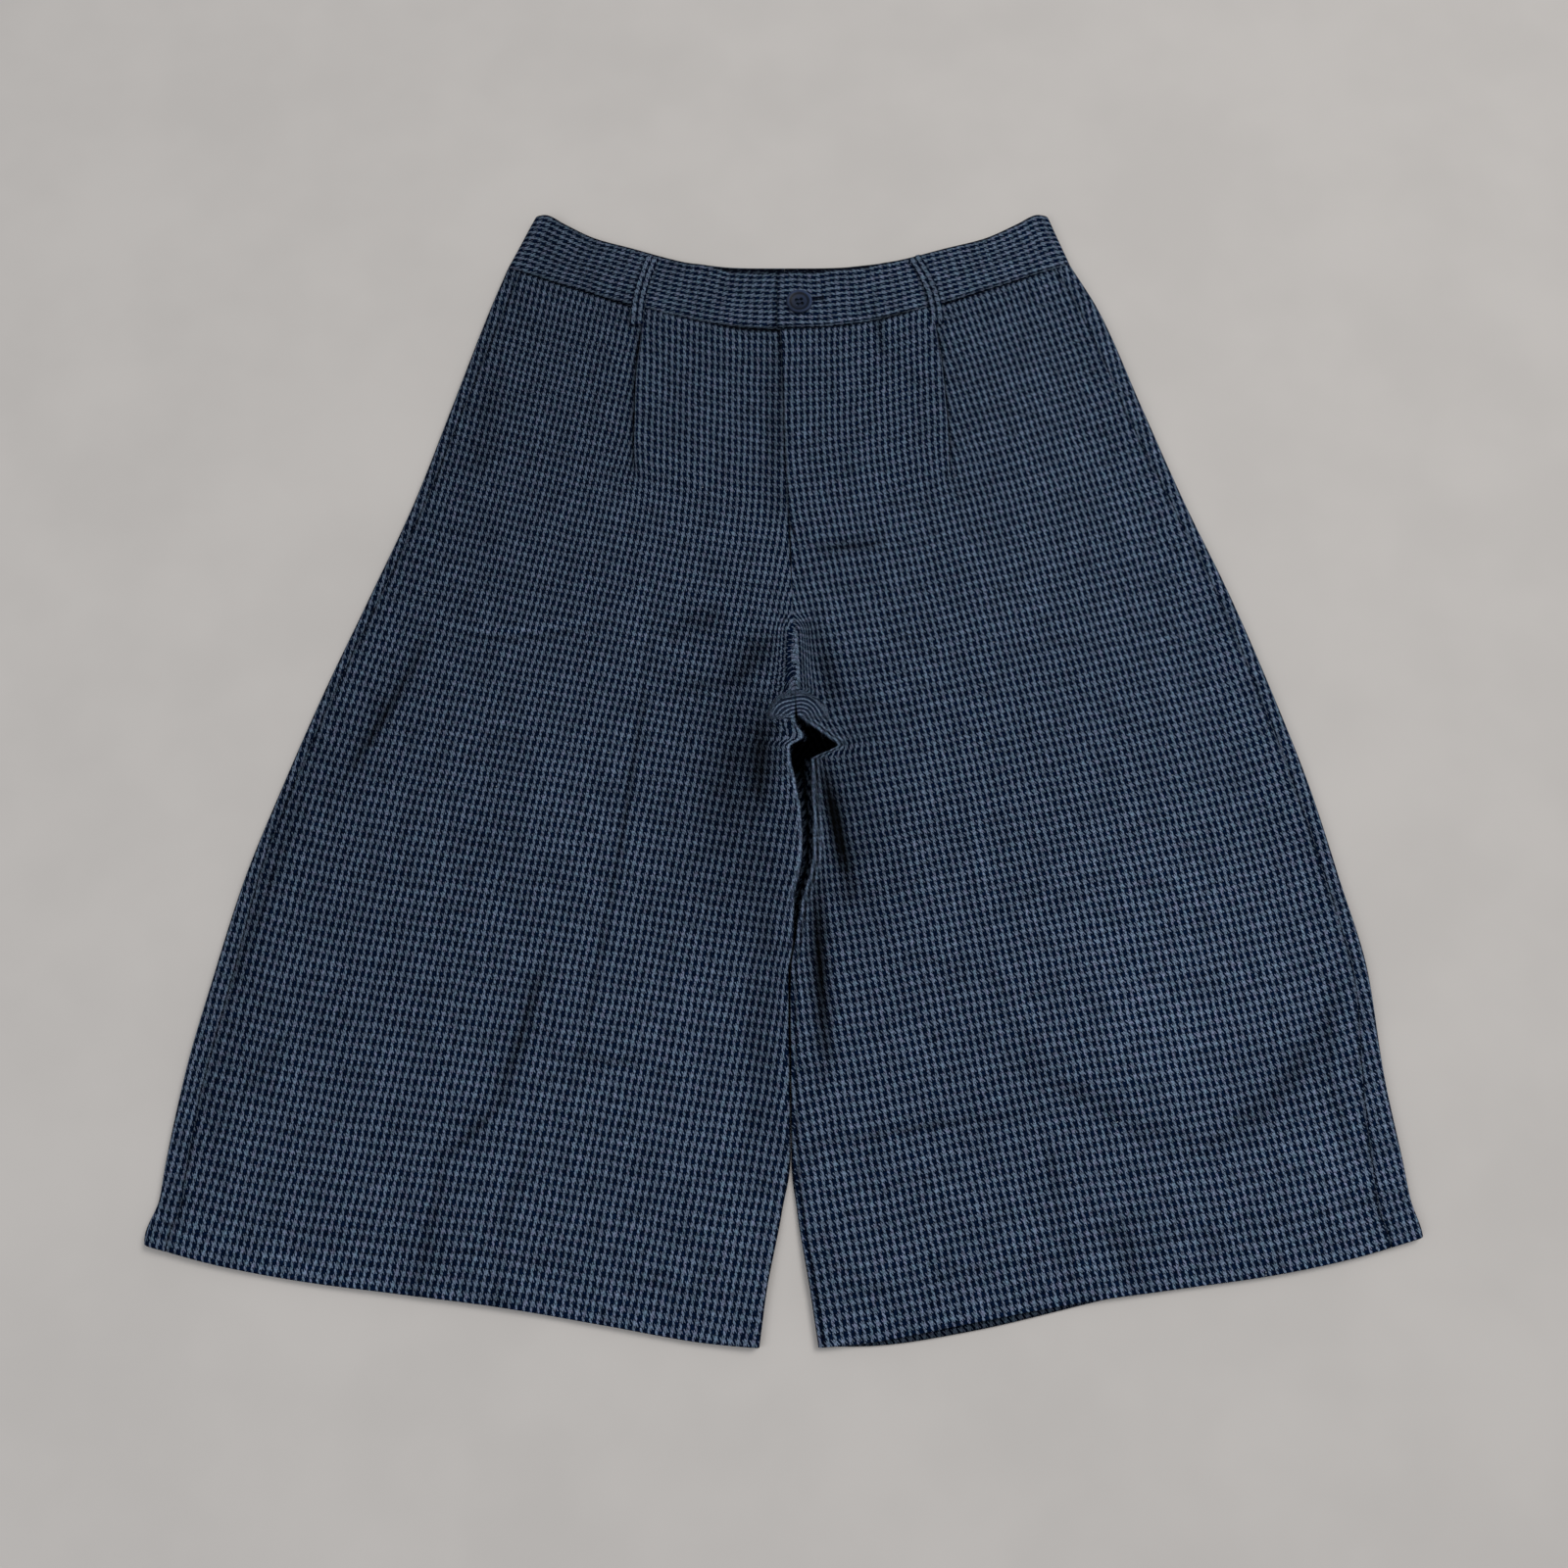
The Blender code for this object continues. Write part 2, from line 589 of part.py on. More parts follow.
def principled(name, colour, roughness, sheen):
    """A Principled material."""
    material = bpy.data.materials.new(name)
    material.use_nodes = True
    shader = material.node_tree.nodes["Principled BSDF"]
    shader.inputs["Base Color"].default_value = colour
    shader.inputs["Roughness"].default_value = roughness
    shader.inputs["Metallic"].default_value = 0.0
    shader.inputs["Sheen Weight"].default_value = sheen
    material.diffuse_color = colour
    return material


def cloth_piece(collection, name, points, thickness):
    """A cloth piece: the grid as an open surface, made a wall by a Solidify modifier."""
    rows, columns = points.shape[:2]
    index = np.arange(rows * columns).reshape(rows, columns)
    corners = (index[:-1, :-1], index[:-1, 1:], index[1:, 1:], index[1:, :-1])
    quads = np.stack([corner.ravel() for corner in corners], 1)
    mesh = bpy.data.meshes.new(name)
    placed = (points.reshape(-1, 3) - (0.0, MIDDLE_HEIGHT, 0.0)) * MM
    mesh.from_pydata(placed.tolist(), [], quads.tolist())
    mesh.shade_smooth()
    piece = bpy.data.objects.new(name, mesh)
    wall = piece.modifiers.new("Cloth wall", "SOLIDIFY")
    wall.thickness = thickness * MM
    wall.offset = 0.0
    wall.use_even_offset = True
    mesh.materials.append(principled(name, CLOTH_COLOUR, 0.9, 0.3))
    collection.objects.link(piece)
    return piece


def turned_button(collection, cutters):
    """The button: a turned rim and dish with four sewing holes cut through."""
    mesh = bpy.data.meshes.new("button")
    form = bmesh.new()
    ring = [form.verts.new((radius * MM, 0.0, height * MM)) for radius, height in BUTTON_PROFILE]
    for first, second in zip(ring[:-1], ring[1:]):
        form.edges.new((second, first))
    form.to_mesh(mesh)
    form.free()
    button = bpy.data.objects.new("button", mesh)
    screw = button.modifiers.new("Turn", "SCREW")
    screw.steps = BUTTON_SEGMENTS
    screw.render_steps = BUTTON_SEGMENTS
    screw.use_merge_vertices = True
    screw.merge_threshold = 0.00005
    top = BAND_FRONT_LEVEL + BAND + GAP + BAND / 2
    button.location = (BUTTON_X * MM, (BUTTON_Y - MIDDLE_HEIGHT) * MM, (top + GAP) * MM)
    mesh.materials.append(principled("button", BUTTON_COLOUR, 0.45, 0.0))
    collection.objects.link(button)
    for count in range(4):
        turn = math.radians(BUTTON_TURN + 45.0 + 90.0 * count)
        offset = BUTTON_HOLE_OFFSET * math.sqrt(2.0)
        along = BUTTON_X + offset * math.cos(turn)
        up = BUTTON_Y - MIDDLE_HEIGHT + offset * math.sin(turn)
        place = (along, up, top)
        hole = bpy.data.meshes.new("hole")
        form = bmesh.new()
        bmesh.ops.create_cone(form, cap_ends=True, segments=BUTTON_HOLE_SEGMENTS,
                              radius1=BUTTON_HOLE_RADIUS * MM, radius2=BUTTON_HOLE_RADIUS * MM,
                              depth=12.0 * MM)
        form.to_mesh(hole)
        form.free()
        cutter = bpy.data.objects.new("hole_%d" % (count + 1), hole)
        cutter.location = tuple(value * MM for value in place)
        cutter.hide_render = True
        cutter.display_type = "WIRE"
        cutters.objects.link(cutter)
        cut = button.modifiers.new("Hole %d" % (count + 1), "BOOLEAN")
        cut.operation = "DIFFERENCE"
        cut.object = cutter
    return button


def main():
    """Builds every piece of the shorts."""
    for item in list(bpy.data.objects):
        bpy.data.objects.remove(item, do_unlink=True)
    shorts = bpy.data.collections.new("Pleated shorts")
    cutters = bpy.data.collections.new("Cutters")
    bpy.context.scene.collection.children.link(shorts)
    bpy.context.scene.collection.children.link(cutters)
    for side in (RIGHT, LEFT):
        name = side_name(side)
        cloth_piece(shorts, "back_" + name, back_panel(side), CLOTH)
        cloth_piece(shorts, "front_" + name, front_panel(side), CLOTH)
        cloth_piece(shorts, "waistband_" + name, waistband(side), BAND)
    for loop in LOOPS:
        cloth_piece(shorts, loop.name, belt_loop(loop), LOOP)
    turned_button(shorts, cutters)


main()
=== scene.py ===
"""Looks of the pleated wide-leg shorts: fine cloth shells, houndstooth weave, sewing and light.

Tables and sizes are in millimetres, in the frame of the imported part: +X is the wearer's left, +Y runs
towards the waist and +Z is up.  Every panel is a grid of sections that follows its solid's form, made
finer, with the creases of the laid garment on it.
"""

import logging
import math
from dataclasses import dataclass
from enum import Enum
from typing import Callable, Iterator, NamedTuple

import bpy
import numpy as np
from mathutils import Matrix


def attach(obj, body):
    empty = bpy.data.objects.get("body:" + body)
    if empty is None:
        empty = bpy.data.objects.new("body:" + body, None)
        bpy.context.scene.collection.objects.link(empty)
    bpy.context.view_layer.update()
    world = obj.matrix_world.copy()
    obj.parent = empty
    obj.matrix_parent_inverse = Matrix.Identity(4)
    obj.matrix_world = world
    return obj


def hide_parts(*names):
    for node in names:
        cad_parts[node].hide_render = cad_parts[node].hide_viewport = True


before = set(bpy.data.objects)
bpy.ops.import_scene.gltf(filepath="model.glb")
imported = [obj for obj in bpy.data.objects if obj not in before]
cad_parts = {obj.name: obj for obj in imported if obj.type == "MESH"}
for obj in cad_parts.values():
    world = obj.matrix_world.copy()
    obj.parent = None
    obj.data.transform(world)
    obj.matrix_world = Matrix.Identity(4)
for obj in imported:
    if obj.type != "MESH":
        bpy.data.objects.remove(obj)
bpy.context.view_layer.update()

Array = np.ndarray
Material = bpy.types.Material
Piece = bpy.types.Object
Socket = bpy.types.NodeSocket

MM = 0.001
MIDDLE_HEIGHT = -1.0
MIN_TURN = 0.02
MIN_SHADE = 0.02

log = logging.getLogger("shorts")


class Hand(Enum):
    """The wearer's side that a piece belongs to."""

    RIGHT = -1
    LEFT = 1

    @property
    def label(self) -> str:
        """Column name of this side in the tables."""
        return self.name.lower()


class Outer(NamedTuple):
    """Outer fold at a height, and how far inside it the side seam shows."""

    height: float
    right: float
    left: float
    inset_right: float
    inset_left: float


class Inner(NamedTuple):
    """Inner edges of both fronts at a height, the line where the backs meet, and how much they fill."""

    height: float
    right: float
    left: float
    middle: float
    fill: float


class Sides(NamedTuple):
    """A size of both sides at a height: a row's climb to the outer fold, or a pleat's visible fold."""

    height: float
    right: float
    left: float


class Profile(NamedTuple):
    """Two values at a share of the way from the centre line to the outer fold."""

    across: float
    first: float
    second: float


class Zone(NamedTuple):
    """A stretch of the panels' rows along the centre line: where it ends, and how many rows it has."""

    foot: float
    rows: int


class Crease(NamedTuple):
    """A soft ridge, or a trough with a negative height, along a bowed line."""

    x0: float
    y0: float
    x1: float
    y1: float
    bow: float
    width: float
    height: float


class Ripple(NamedTuple):
    """One long, shallow wave of the laid cloth."""

    length: float
    direction: float
    phase: float
    height: float


OUTERS = (
    Outer(337, 190.3, 197.8, 10, 12),
    Outer(298, 203.4, 217.6, 10, 12.5),
    Outer(226, 225, 242.4, 8.5, 12),
    Outer(157, 246, 266.4, 7.5, 9),
    Outer(89, 271.4, 292.6, 7, 8),
    Outer(24, 296.2, 314.4, 7, 9),
    Outer(-39, 318, 333.2, 7, 9.5),
    Outer(-100, 337.2, 347.2, 9, 9),
    Outer(-159, 350.6, 359.4, 12, 9.5),
    Outer(-216, 362, 362.8, 12.5, 13.5),
    Outer(-272, 369, 369.6, 13.5, 19),
    Outer(-292, 370.6, 371.8, 14, 20),
    Outer(-314, 377.2, 377, 14, 20),
    Outer(-324, 376, 376, 14, 20),
)

INNERS = (
    Inner(284.8, 19.5, -2.6, 0.5, 1),
    Inner(250, 19.5, -1.2, 1, 1),
    Inner(190, 16.5, 1.2, 2.5, 1),
    Inner(160, 10.5, 2.6, 3.4, 1),
    Inner(136, 3.7, 4, 3.9, 1),
    Inner(70, 5.9, 6.2, 6.1, 1),
    Inner(24, 7.1, 7.5, 7.3, 1),
    Inner(10, 7.1, 8.4, 7.7, 1),
    Inner(1, 9.2, 18.5, 12.5, 1),
    Inner(-5.5, 13.4, 26.5, 15, 1),
    Inner(-12.5, 4.4, 33.8, 15, 1),
    Inner(-21.5, 5, 16.8, 12.5, 1),
    Inner(-40, 8.8, 17.2, 13.2, 1),
    Inner(-60, 11.6, 18, 14.8, 1),
    Inner(-80, 12, 17.8, 14.9, 1),
    Inner(-95, 10.3, 15.6, 13, 1),
    Inner(-110, 6.8, 11.2, 9, 1),
    Inner(-136, 6, 6.8, 6.4, 1),
    Inner(-160, 3, 3.7, 3.3, 1),
    Inner(-264, 3.8, 4.6, 4.2, 0.6),
    Inner(-300, -1.2, 7.8, 3.4, 0),
    Inner(-345, -10, 15.2, 2.6, 0),
    Inner(-377, -14.3, 20, 2.8, 0),
)

# How far a row climbs from the centre line to the outer fold
CLIMBS = (Sides(284.8, 46.8, 50), Sides(12, 52, 53.5), Sides(-377, 58.5, 63))

# Visible fold line of each pleat
PLEATS = (Sides(310, 97, 101), Sides(285, 98, 105), Sides(246, 101, 109), Sides(186, 100.5, 111.5),
          Sides(120, 100, 112))

# A row's share of its climb, at the waist seam and at the hem
ROW_SHAPES = (
    Profile(0, 0, 0),
    Profile(0.12, 0.02, 0.06),
    Profile(0.28, 0.12, 0.23),
    Profile(0.45, 0.30, 0.41),
    Profile(0.60, 0.48, 0.53),
    Profile(0.75, 0.69, 0.65),
    Profile(0.88, 0.86, 0.80),
    Profile(1, 1, 1),
)

# Top edge of the waistband, in front and at the back
BAND_TOPS = (
    Profile(0, 329.8, 335),
    Profile(0.1, 329.7, 335),
    Profile(0.2, 331, 335.4),
    Profile(0.3, 334.2, 337.2),
    Profile(0.4, 338, 339.8),
    Profile(0.6, 348.2, 348.4),
    Profile(0.75, 356.2, 356.2),
    Profile(0.88, 367.6, 367.6),
    Profile(0.96, 374.4, 374.4),
    Profile(1, 372.6, 372.6),
)

# Rows from the waist seam down to the top of the hem, closer at the crotch
ZONES = (Zone(280.8, 4), Zone(150, 50), Zone(40, 42), Zone(-40, 60), Zone(-180, 74), Zone(-349, 62))

# Largest folds, which the solids have too
FOLDS = (
    Crease(-103, 175, -128, 20, 0, 17, 1.1),
    Crease(114, 175, 138, 10, 0, 17, 1),
    Crease(-140, -158, -196, -258, 0, 15, 1.9),
    Crease(-232, 60, -266, -70, 0, 18, 1.3),
    Crease(-52, -60, -70, -250, 0, 22, 1.2),
    Crease(16, -150, 15, -262, 0, 9, 1.4),
    Crease(34, 44, 54, -40, 0, 10, 1.6),
    Crease(-18, 40, -24, -30, 0, 9, 1.3),
    Crease(84, -20, 96, -240, 0, 22, 1.2),
    Crease(178, -250, 200, -320, 0, 14, 1.1),
    Crease(240, 40, 292, -150, 0, 18, 1.3),
    Crease(306, -185, 322, -275, 0, 12, 1),
    Crease(-300, -150, -322, -290, 0, 14, 1.2),
)

# Finer creases of the wearer's right front, at the photo's left
CREASES_RIGHT = (
    Crease(-249.4, 74.6, -108.9, 81.5, 13.4, 3.2, 0.7),
    Crease(-95, 35.4, -128, -205.4, -4.5, 3.6, 0.9),
    Crease(-238.5, 52.2, -283, -37, 0.2, 4.5, -1.3),
    Crease(-148, -150.1, -204.6, -274, -10.9, 3.8, -1.2),
    Crease(-204.6, -268, -209.8, -345, 0.1, 4.5, -0.9),
    Crease(-143.2, -274, -167.6, -348, 5.7, 5, 0.8),
    Crease(-127.8, -210.1, -86.1, -213, 0.3, 3, 0.6),
    Crease(-74, 74.6, -36, 69.2, -1.1, 7, -0.9),
    Crease(-63.2, 28.7, -30, 32.7, 0.4, 5, -0.8),
    Crease(-60, 134.9, 2, 131, 0.8, 2.6, 0.6),
    Crease(-6.3, 28.7, -18.6, -49.9, 3.1, 9, -1),
    Crease(0, 80, -34.4, -16, 1.5, 7, 1),
    Crease(-197, 262, -209.3, 160, -1.6, 7, -0.9),
    Crease(-338, -189.3, -300, -197, -0.4, 3, 0.6),
    Crease(-150.2, -11, -97.9, -100.6, 15.6, 16, 0.8),
    Crease(-30, -100, -26, -190, 3, 10, 0.7),
)

# Finer creases of the wearer's left front
CREASES_LEFT = (
    Crease(16, 126.2, 66, 129.3, 0.9, 3, -0.9),
    Crease(105, 181.2, 127.5, 62.4, -3.9, 5, 0.7),
    Crease(203.2, -55, 292.3, -205, 8, 48, 2.4),
    Crease(120, -128, 245, -270, 26, 7, -1),
    Crease(235, -268.3, 332, -178, 16.6, 7, -1),
    Crease(4, -262.5, 160, -242, -0.6, 2.8, -0.7),
    Crease(154.4, -240, 169.3, -356, -0.9, 3.4, -0.7),
    Crease(113, 5, 133.7, -170, 1.6, 4.6, 0.8),
    Crease(327, -155, 340, -252, 2.8, 4.6, 0.9),
    Crease(193, -305, 212, -345, 1.2, 7, -0.9),
    Crease(21, -12, 44, -118, -1, 5.5, -1.8),
    Crease(20.5, -90, 27, -224, 2, 5, -1.5),
    Crease(12, 104, 68, 8, 6.5, 8, 1.2),
    Crease(102.2, 69.2, 205.7, 96.6, 6.6, 9, 0.8),
    Crease(64.7, 295.8, 69, 246, 0.3, 2.2, -1.1),
    Crease(112, 215, 124, 130, 1, 5, -0.8),
    Crease(168, 240, 238, 120, -6, 12, 0.7),
    Crease(250, -290, 345, -268, 2, 12, 0.8),
)

# Small folds gathered round the crotch point, on both fronts
CREASES_CROTCH = (
    Crease(-6, 30.5, 30, 30.5, -6, 1.8, 0.7),
    Crease(-10, 17, 33, 14, -10.5, 1.8, 0.8),
    Crease(-9, 11, 30, 8, -11, 1.5, 0.6),
    Crease(7.7, 92, 5, 24, 0.3, 4.6, 1.3),
    Crease(-8, -3, 0, 3, 0, 1.6, 0.7),
    Crease(-4, -13, 3, -9, 0.5, 1.6, 0.6),
    Crease(24, 0, 38, -20, 1.5, 2.2, 0.7),
)

# Painted shade and light along the folds and creases and round the crotch: an amount that is added to the
# cloth's brightness
SHADES = (
    # Round the crotch
    Crease(-20, 84, -36, -150, 0, 32, -0.34),
    Crease(-13, 12, -15, -62, 0, 7, -0.34),
    Crease(-26, 26, -40, -70, 0, 12, -0.14),
    Crease(-4, 70, -34, 26, 0, 9, -0.36),
    Crease(-8, -60, -14, -300, 2, 12, -0.26),
    Crease(-82, 66, -36, 79, 0, 9, -0.26),
    Crease(-76, 27, -30, 33, 0, 5, -0.16),
    Crease(36, 60, 56, -160, 4, 26, -0.26),
    Crease(19, 84, 34, 14, 0, 8, -0.42),
    Crease(20.5, -10, 43.5, -120, -1, 7, -0.52),
    Crease(21, -84, 27.5, -226, 2, 6.5, -0.72),
    Crease(19, 106, 66, 18, -6, 3, 0.10),
    Crease(46, 19, 74, 15, 1, 2.2, -0.28),
    Crease(-8, 294, -6, 140, 0, 7, -0.24),
    Crease(-60, 266, -60, 190, 0, 3, -0.10),
    Crease(-27, 268, -25, 190, 0, 3, -0.10),
    Crease(0.9, 82, 0.9, 24, 0, 1.2, -0.35),
    Crease(5.5, 84, 15, 22, 0, 1.2, -0.35),
    Crease(-5, 24, 24, 22, -6, 1.3, -0.35),
    Crease(-8, 14, 28, 10, -10, 1.3, -0.35),
    Crease(-10, 5, -1, -4, 0, 1.8, -0.25),
    # Wearer's right front
    Crease(-246, 80, -96, 87, 17, 2.4, 0.22),
    Crease(-246, 74.5, -96, 81.5, 17, 2.6, -0.22),
    Crease(-71, 130, -1, 134, -4, 2.2, 0.16),
    Crease(-231, 64, -290, -52, -3, 2.6, -0.40),
    Crease(-231, 64, -290, -48, -3, 10, -0.10),
    Crease(-86, 78, -131.5, -242, -5, 2.4, -0.44),
    Crease(-134, -206.5, -82, -213, 1, 2.6, -0.44),
    Crease(-142, -132, -174, -242, 0, 2.6, -0.38),
    Crease(-142, -132, -174, -242, 0, 9, -0.10),
    Crease(-164, -228, -206, -270, -2, 3, -0.40),
    Crease(-199, -254, -218, -356, 0, 3.2, -0.24),
    Crease(-208, -300, -217, -372, 0, 9, -0.20),
    Crease(-148, -238, -168, -362, 4.5, 2.4, -0.32),
    Crease(-292, 2, -345, -194, 0, 3.6, -0.34),
    Crease(-192, 316, -238, 184, 0, 3.5, -0.18),
    Crease(-188, 272, -210, 158, 0, 10, -0.10),
    Crease(-221, 146, -175, 130, 3, 12, -0.08),
    Crease(-193, -36, -152, -102, 8, 16, -0.08),
    Crease(-320, -222, -303, -196, 0, 4, -0.18),
    Crease(-318, -120, -352, -300, 0, 14, -0.13),
    Crease(-364, -312, -250, -336, 2, 8, 0.10),
    Crease(-166, -330, -171, -378, 0, 8, -0.25),
    # Wearer's left front
    Crease(14, 124, 68, 127.6, 0.9, 3.4, -0.38),
    Crease(114, 4, 134, -162, 1, 3, 0.14),
    Crease(108, 4, 128, -162, 1, 4, -0.10),
    Crease(130, -136, 172, -238, -2, 3, 0.12),
    Crease(2, -262.5, 160, -241, -1.5, 2.2, -0.36),
    Crease(153, -237, 172, -354, 0, 2.6, -0.22),
    Crease(118, -198, 262, -266, 4.5, 8, -0.20),
    Crease(238, -268, 343, -158, 17.5, 7, -0.30),
    Crease(342, -152, 344, -276, 13, 3.6, -0.42),
    Crease(196, -296, 214, -356, 0, 9, -0.24),
    Crease(87, 282, 93, 160, 0, 6, -0.08),
    Crease(64.7, 300, 68, 262, 0.3, 3, -0.40),
    Crease(132, 228, 212, 201, -4, 2.6, -0.14),
    Crease(138, 51, 187, 66, 4, 3.4, -0.20),
    Crease(92, 170, 136, 88, 8, 3, -0.14),
    Crease(190, -140, 262, -244, 0, 34, 0.12),
    Crease(296, -248, 352, -286, 0, 18, 0.14),
)

RIPPLES = (
    Ripple(163, 18, 0.4, 0.22),
    Ripple(97, 74, 2.1, 0.16),
    Ripple(61, 131, 4.4, 0.10),
    Ripple(43, 37, 1.2, 0.07),
    Ripple(29, 103, 5.3, 0.045),
    Ripple(21, 158, 3, 0.03),
)


def curve(rows: tuple, key: str, name: str, at: Array | float) -> Array:
    """Smooth curve through a table's rows: cubic pieces with slopes that never overshoot.

    Args:
        rows: table of named rows.
        key: column that is the curve's input.
        name: column that is its value.
        at: inputs, clamped to the table's range.

    Returns:
        The values, in the shape of `at`.
    """
    x = np.array([getattr(row, key) for row in rows], dtype=float)
    y = np.array([getattr(row, name) for row in rows], dtype=float)
    order = np.argsort(x)
    x, y = x[order], y[order]
    step = np.diff(x)
    slope = np.diff(y) / step
    tangent = np.zeros(len(x))
    same_way = slope[1:] * slope[:-1] > 0.0
    harmonic = 2.0 * slope[1:] * slope[:-1] / np.where(same_way, slope[1:] + slope[:-1], 1.0)
    tangent[1:-1] = np.where(same_way, harmonic, 0.0)
    tangent[0], tangent[-1] = slope[0], slope[-1]
    at = np.clip(np.asarray(at, dtype=float), x[0], x[-1])
    piece = np.clip(np.searchsorted(x, at) - 1, 0, len(step) - 1)
    width = step[piece]
    t = (at - x[piece]) / width
    start = (1.0 + 2.0 * t) * (1.0 - t) ** 2 * y[piece] + t * (1.0 - t) ** 2 * width * tangent[piece]
    end = t * t * (3.0 - 2.0 * t) * y[piece + 1] + t * t * (t - 1.0) * width * tangent[piece + 1]
    return start + end


def ease(value: Array | float) -> Array:
    """0 below 0, 1 above 1, and a smooth step between."""
    t = np.clip(value, 0.0, 1.0)
    return t * t * (3.0 - 2.0 * t)


def fading(away: Array | float, reach: float) -> Array:
    """1 up to 0 away, 0 past the reach, and a smooth step between."""
    return 1.0 - ease(away / reach)


def bell(away: Array, width: Array | float) -> Array:
    """A bell curve: 1 in the middle, and e to the minus square of the distance in widths beside it."""
    return np.exp(-((away / width) ** 2))


def ease_sum(value: Array) -> Array:
    """Area under `ease` from 0 up to a value: t cubed less half its fourth power, then a straight rise."""
    t = np.clip(value, 0.0, 1.0)
    return t**3 - t**4 / 2.0 + np.maximum(value - 1.0, 0.0)


def steps(low: float, high: float, count: int) -> Array:
    """Evenly spaced values from low up to, but without, high."""
    return np.linspace(low, high, count, endpoint=False)


def layers(*values: Array) -> Array:
    """Values that belong to the same points, spread over one grid and stacked along a last axis."""
    return np.stack(np.broadcast_arrays(*values), 2)


def unit(vectors: Array) -> Array:
    """Vectors scaled to length one along the last axis."""
    return vectors / np.maximum(np.linalg.norm(vectors, axis=-1, keepdims=True), 1e-9)


def grid_normals(points: Array) -> Array:
    """Unit normals of a grid, from the cross product of its two directions."""
    return unit(np.cross(np.gradient(points, axis=1), np.gradient(points, axis=0)))


def run_along(points: Array) -> Array:
    """Length of a line of points up to each of them."""
    return np.linalg.norm(np.diff(points, axis=0, prepend=points[:1]), axis=1).cumsum()


def crease_field(creases: tuple[Crease, ...], x: Array, y: Array) -> Array:
    """Sum of creases: each is a bell across its bowed line, and fades out along it towards both ends.

    Args:
        creases: the table of creases.
        x, y: places, in millimetres.

    Returns:
        The summed height at each place.
    """
    total = np.zeros(np.broadcast(x, y).shape)
    for crease in creases:
        length = math.hypot(crease.x1 - crease.x0, crease.y1 - crease.y0)
        ux, uy = (crease.x1 - crease.x0) / length, (crease.y1 - crease.y0) / length
        along = np.clip(((x - crease.x0) * ux + (y - crease.y0) * uy) / length, 0.0, 1.0)
        across = (x - crease.x0) * uy - (y - crease.y0) * ux - crease.bow * 4.0 * along * (1.0 - along)
        total += crease.height * np.sin(np.pi * along) ** 0.8 * bell(across, crease.width)
    return total


def ripple_field(x: Array, y: Array) -> Array:
    """Sum of long shallow sine waves, each along its own direction.

    Args:
        x, y: places, in millimetres.

    Returns:
        The summed height at each place.
    """
    total = np.zeros(np.broadcast(x, y).shape)
    for wave in RIPPLES:
        turn = math.radians(wave.direction)
        along = x * math.cos(turn) + y * math.sin(turn)
        total += wave.height * np.sin(2.0 * math.pi * along / wave.length + wave.phase)
    return total


class Line(NamedTuple):
    """A line of painted shade on the cloth: the share of the light that it takes, and its width."""

    dark: float
    width: float

    def beside(self, away: Array, much: Array | float = 1.0) -> Array:
        """Light left on one side of an edge: least at the edge, and all of it past the width."""
        return 1.0 - self.dark * much * fading(away, self.width)

    def across(self, away: Array, much: Array | float = 1.0) -> Array:
        """Light left on both sides of a line: least on it, by a bell curve."""
        return 1.0 - self.dark * much * bell(away, self.width)


class Span(NamedTuple):
    """A stretch of heights that fades in below its top and out above its foot."""

    top: float
    top_fade: float
    foot: float
    foot_fade: float

    def share(self, centre: Array) -> Array:
        """1 within the stretch, 0 outside it, and smooth steps between."""
        return ease((self.top - centre) / self.top_fade) * ease((centre - self.foot) / self.foot_fade)


@dataclass(frozen=True)
class PaintedGradient:
    """Painted light and shade: the cloth's brightness, which rises evenly towards the wearer's left hem."""

    middle: float = 0.83
    rise_left: float = 0.0005
    fall_up: float = 0.00034
    twist: float = 7.5e-7

    def light(self, x: Array, y: Array) -> Array:
        """The brightness at a place."""
        return self.middle + self.rise_left * x - self.fall_up * y + self.twist * x * y


@dataclass(frozen=True)
class WaistSeam:
    """Shade in the waist seam: a thin dark line with two deep stretches, beside the fly and the left loop."""

    dark: float = 0.35
    dark_deep: float = 0.4
    width: float = 0.9
    width_deep: float = 1.8
    fly_x: float = -24.0
    fly_reach: float = 22.0
    loop_x: float = 76.0
    loop_reach: float = 12.0

    def deep(self, x: Array) -> Array:
        """1 in the two deep stretches, and 0 elsewhere."""
        by_fly = np.exp(-(((x - self.fly_x) / self.fly_reach) ** 4))
        return by_fly + np.exp(-(((x - self.loop_x) / self.loop_reach) ** 4))

    def darkness(self, x: Array) -> Array:
        """Share of the light that the line takes."""
        return self.dark + self.dark_deep * self.deep(x)

    def under(self, x: Array, below: Array) -> Array:
        """Light left on a front, just below the band."""
        return 1.0 - self.darkness(x) * fading(below, self.width + self.width_deep * self.deep(x))


PAINTED_GRADIENT = PaintedGradient()
WAIST_SEAM = WaistSeam()
# Painted shade along the side seams of the fronts and backs
SIDE_SEAM_SHADE = Line(0.25, 2.2)


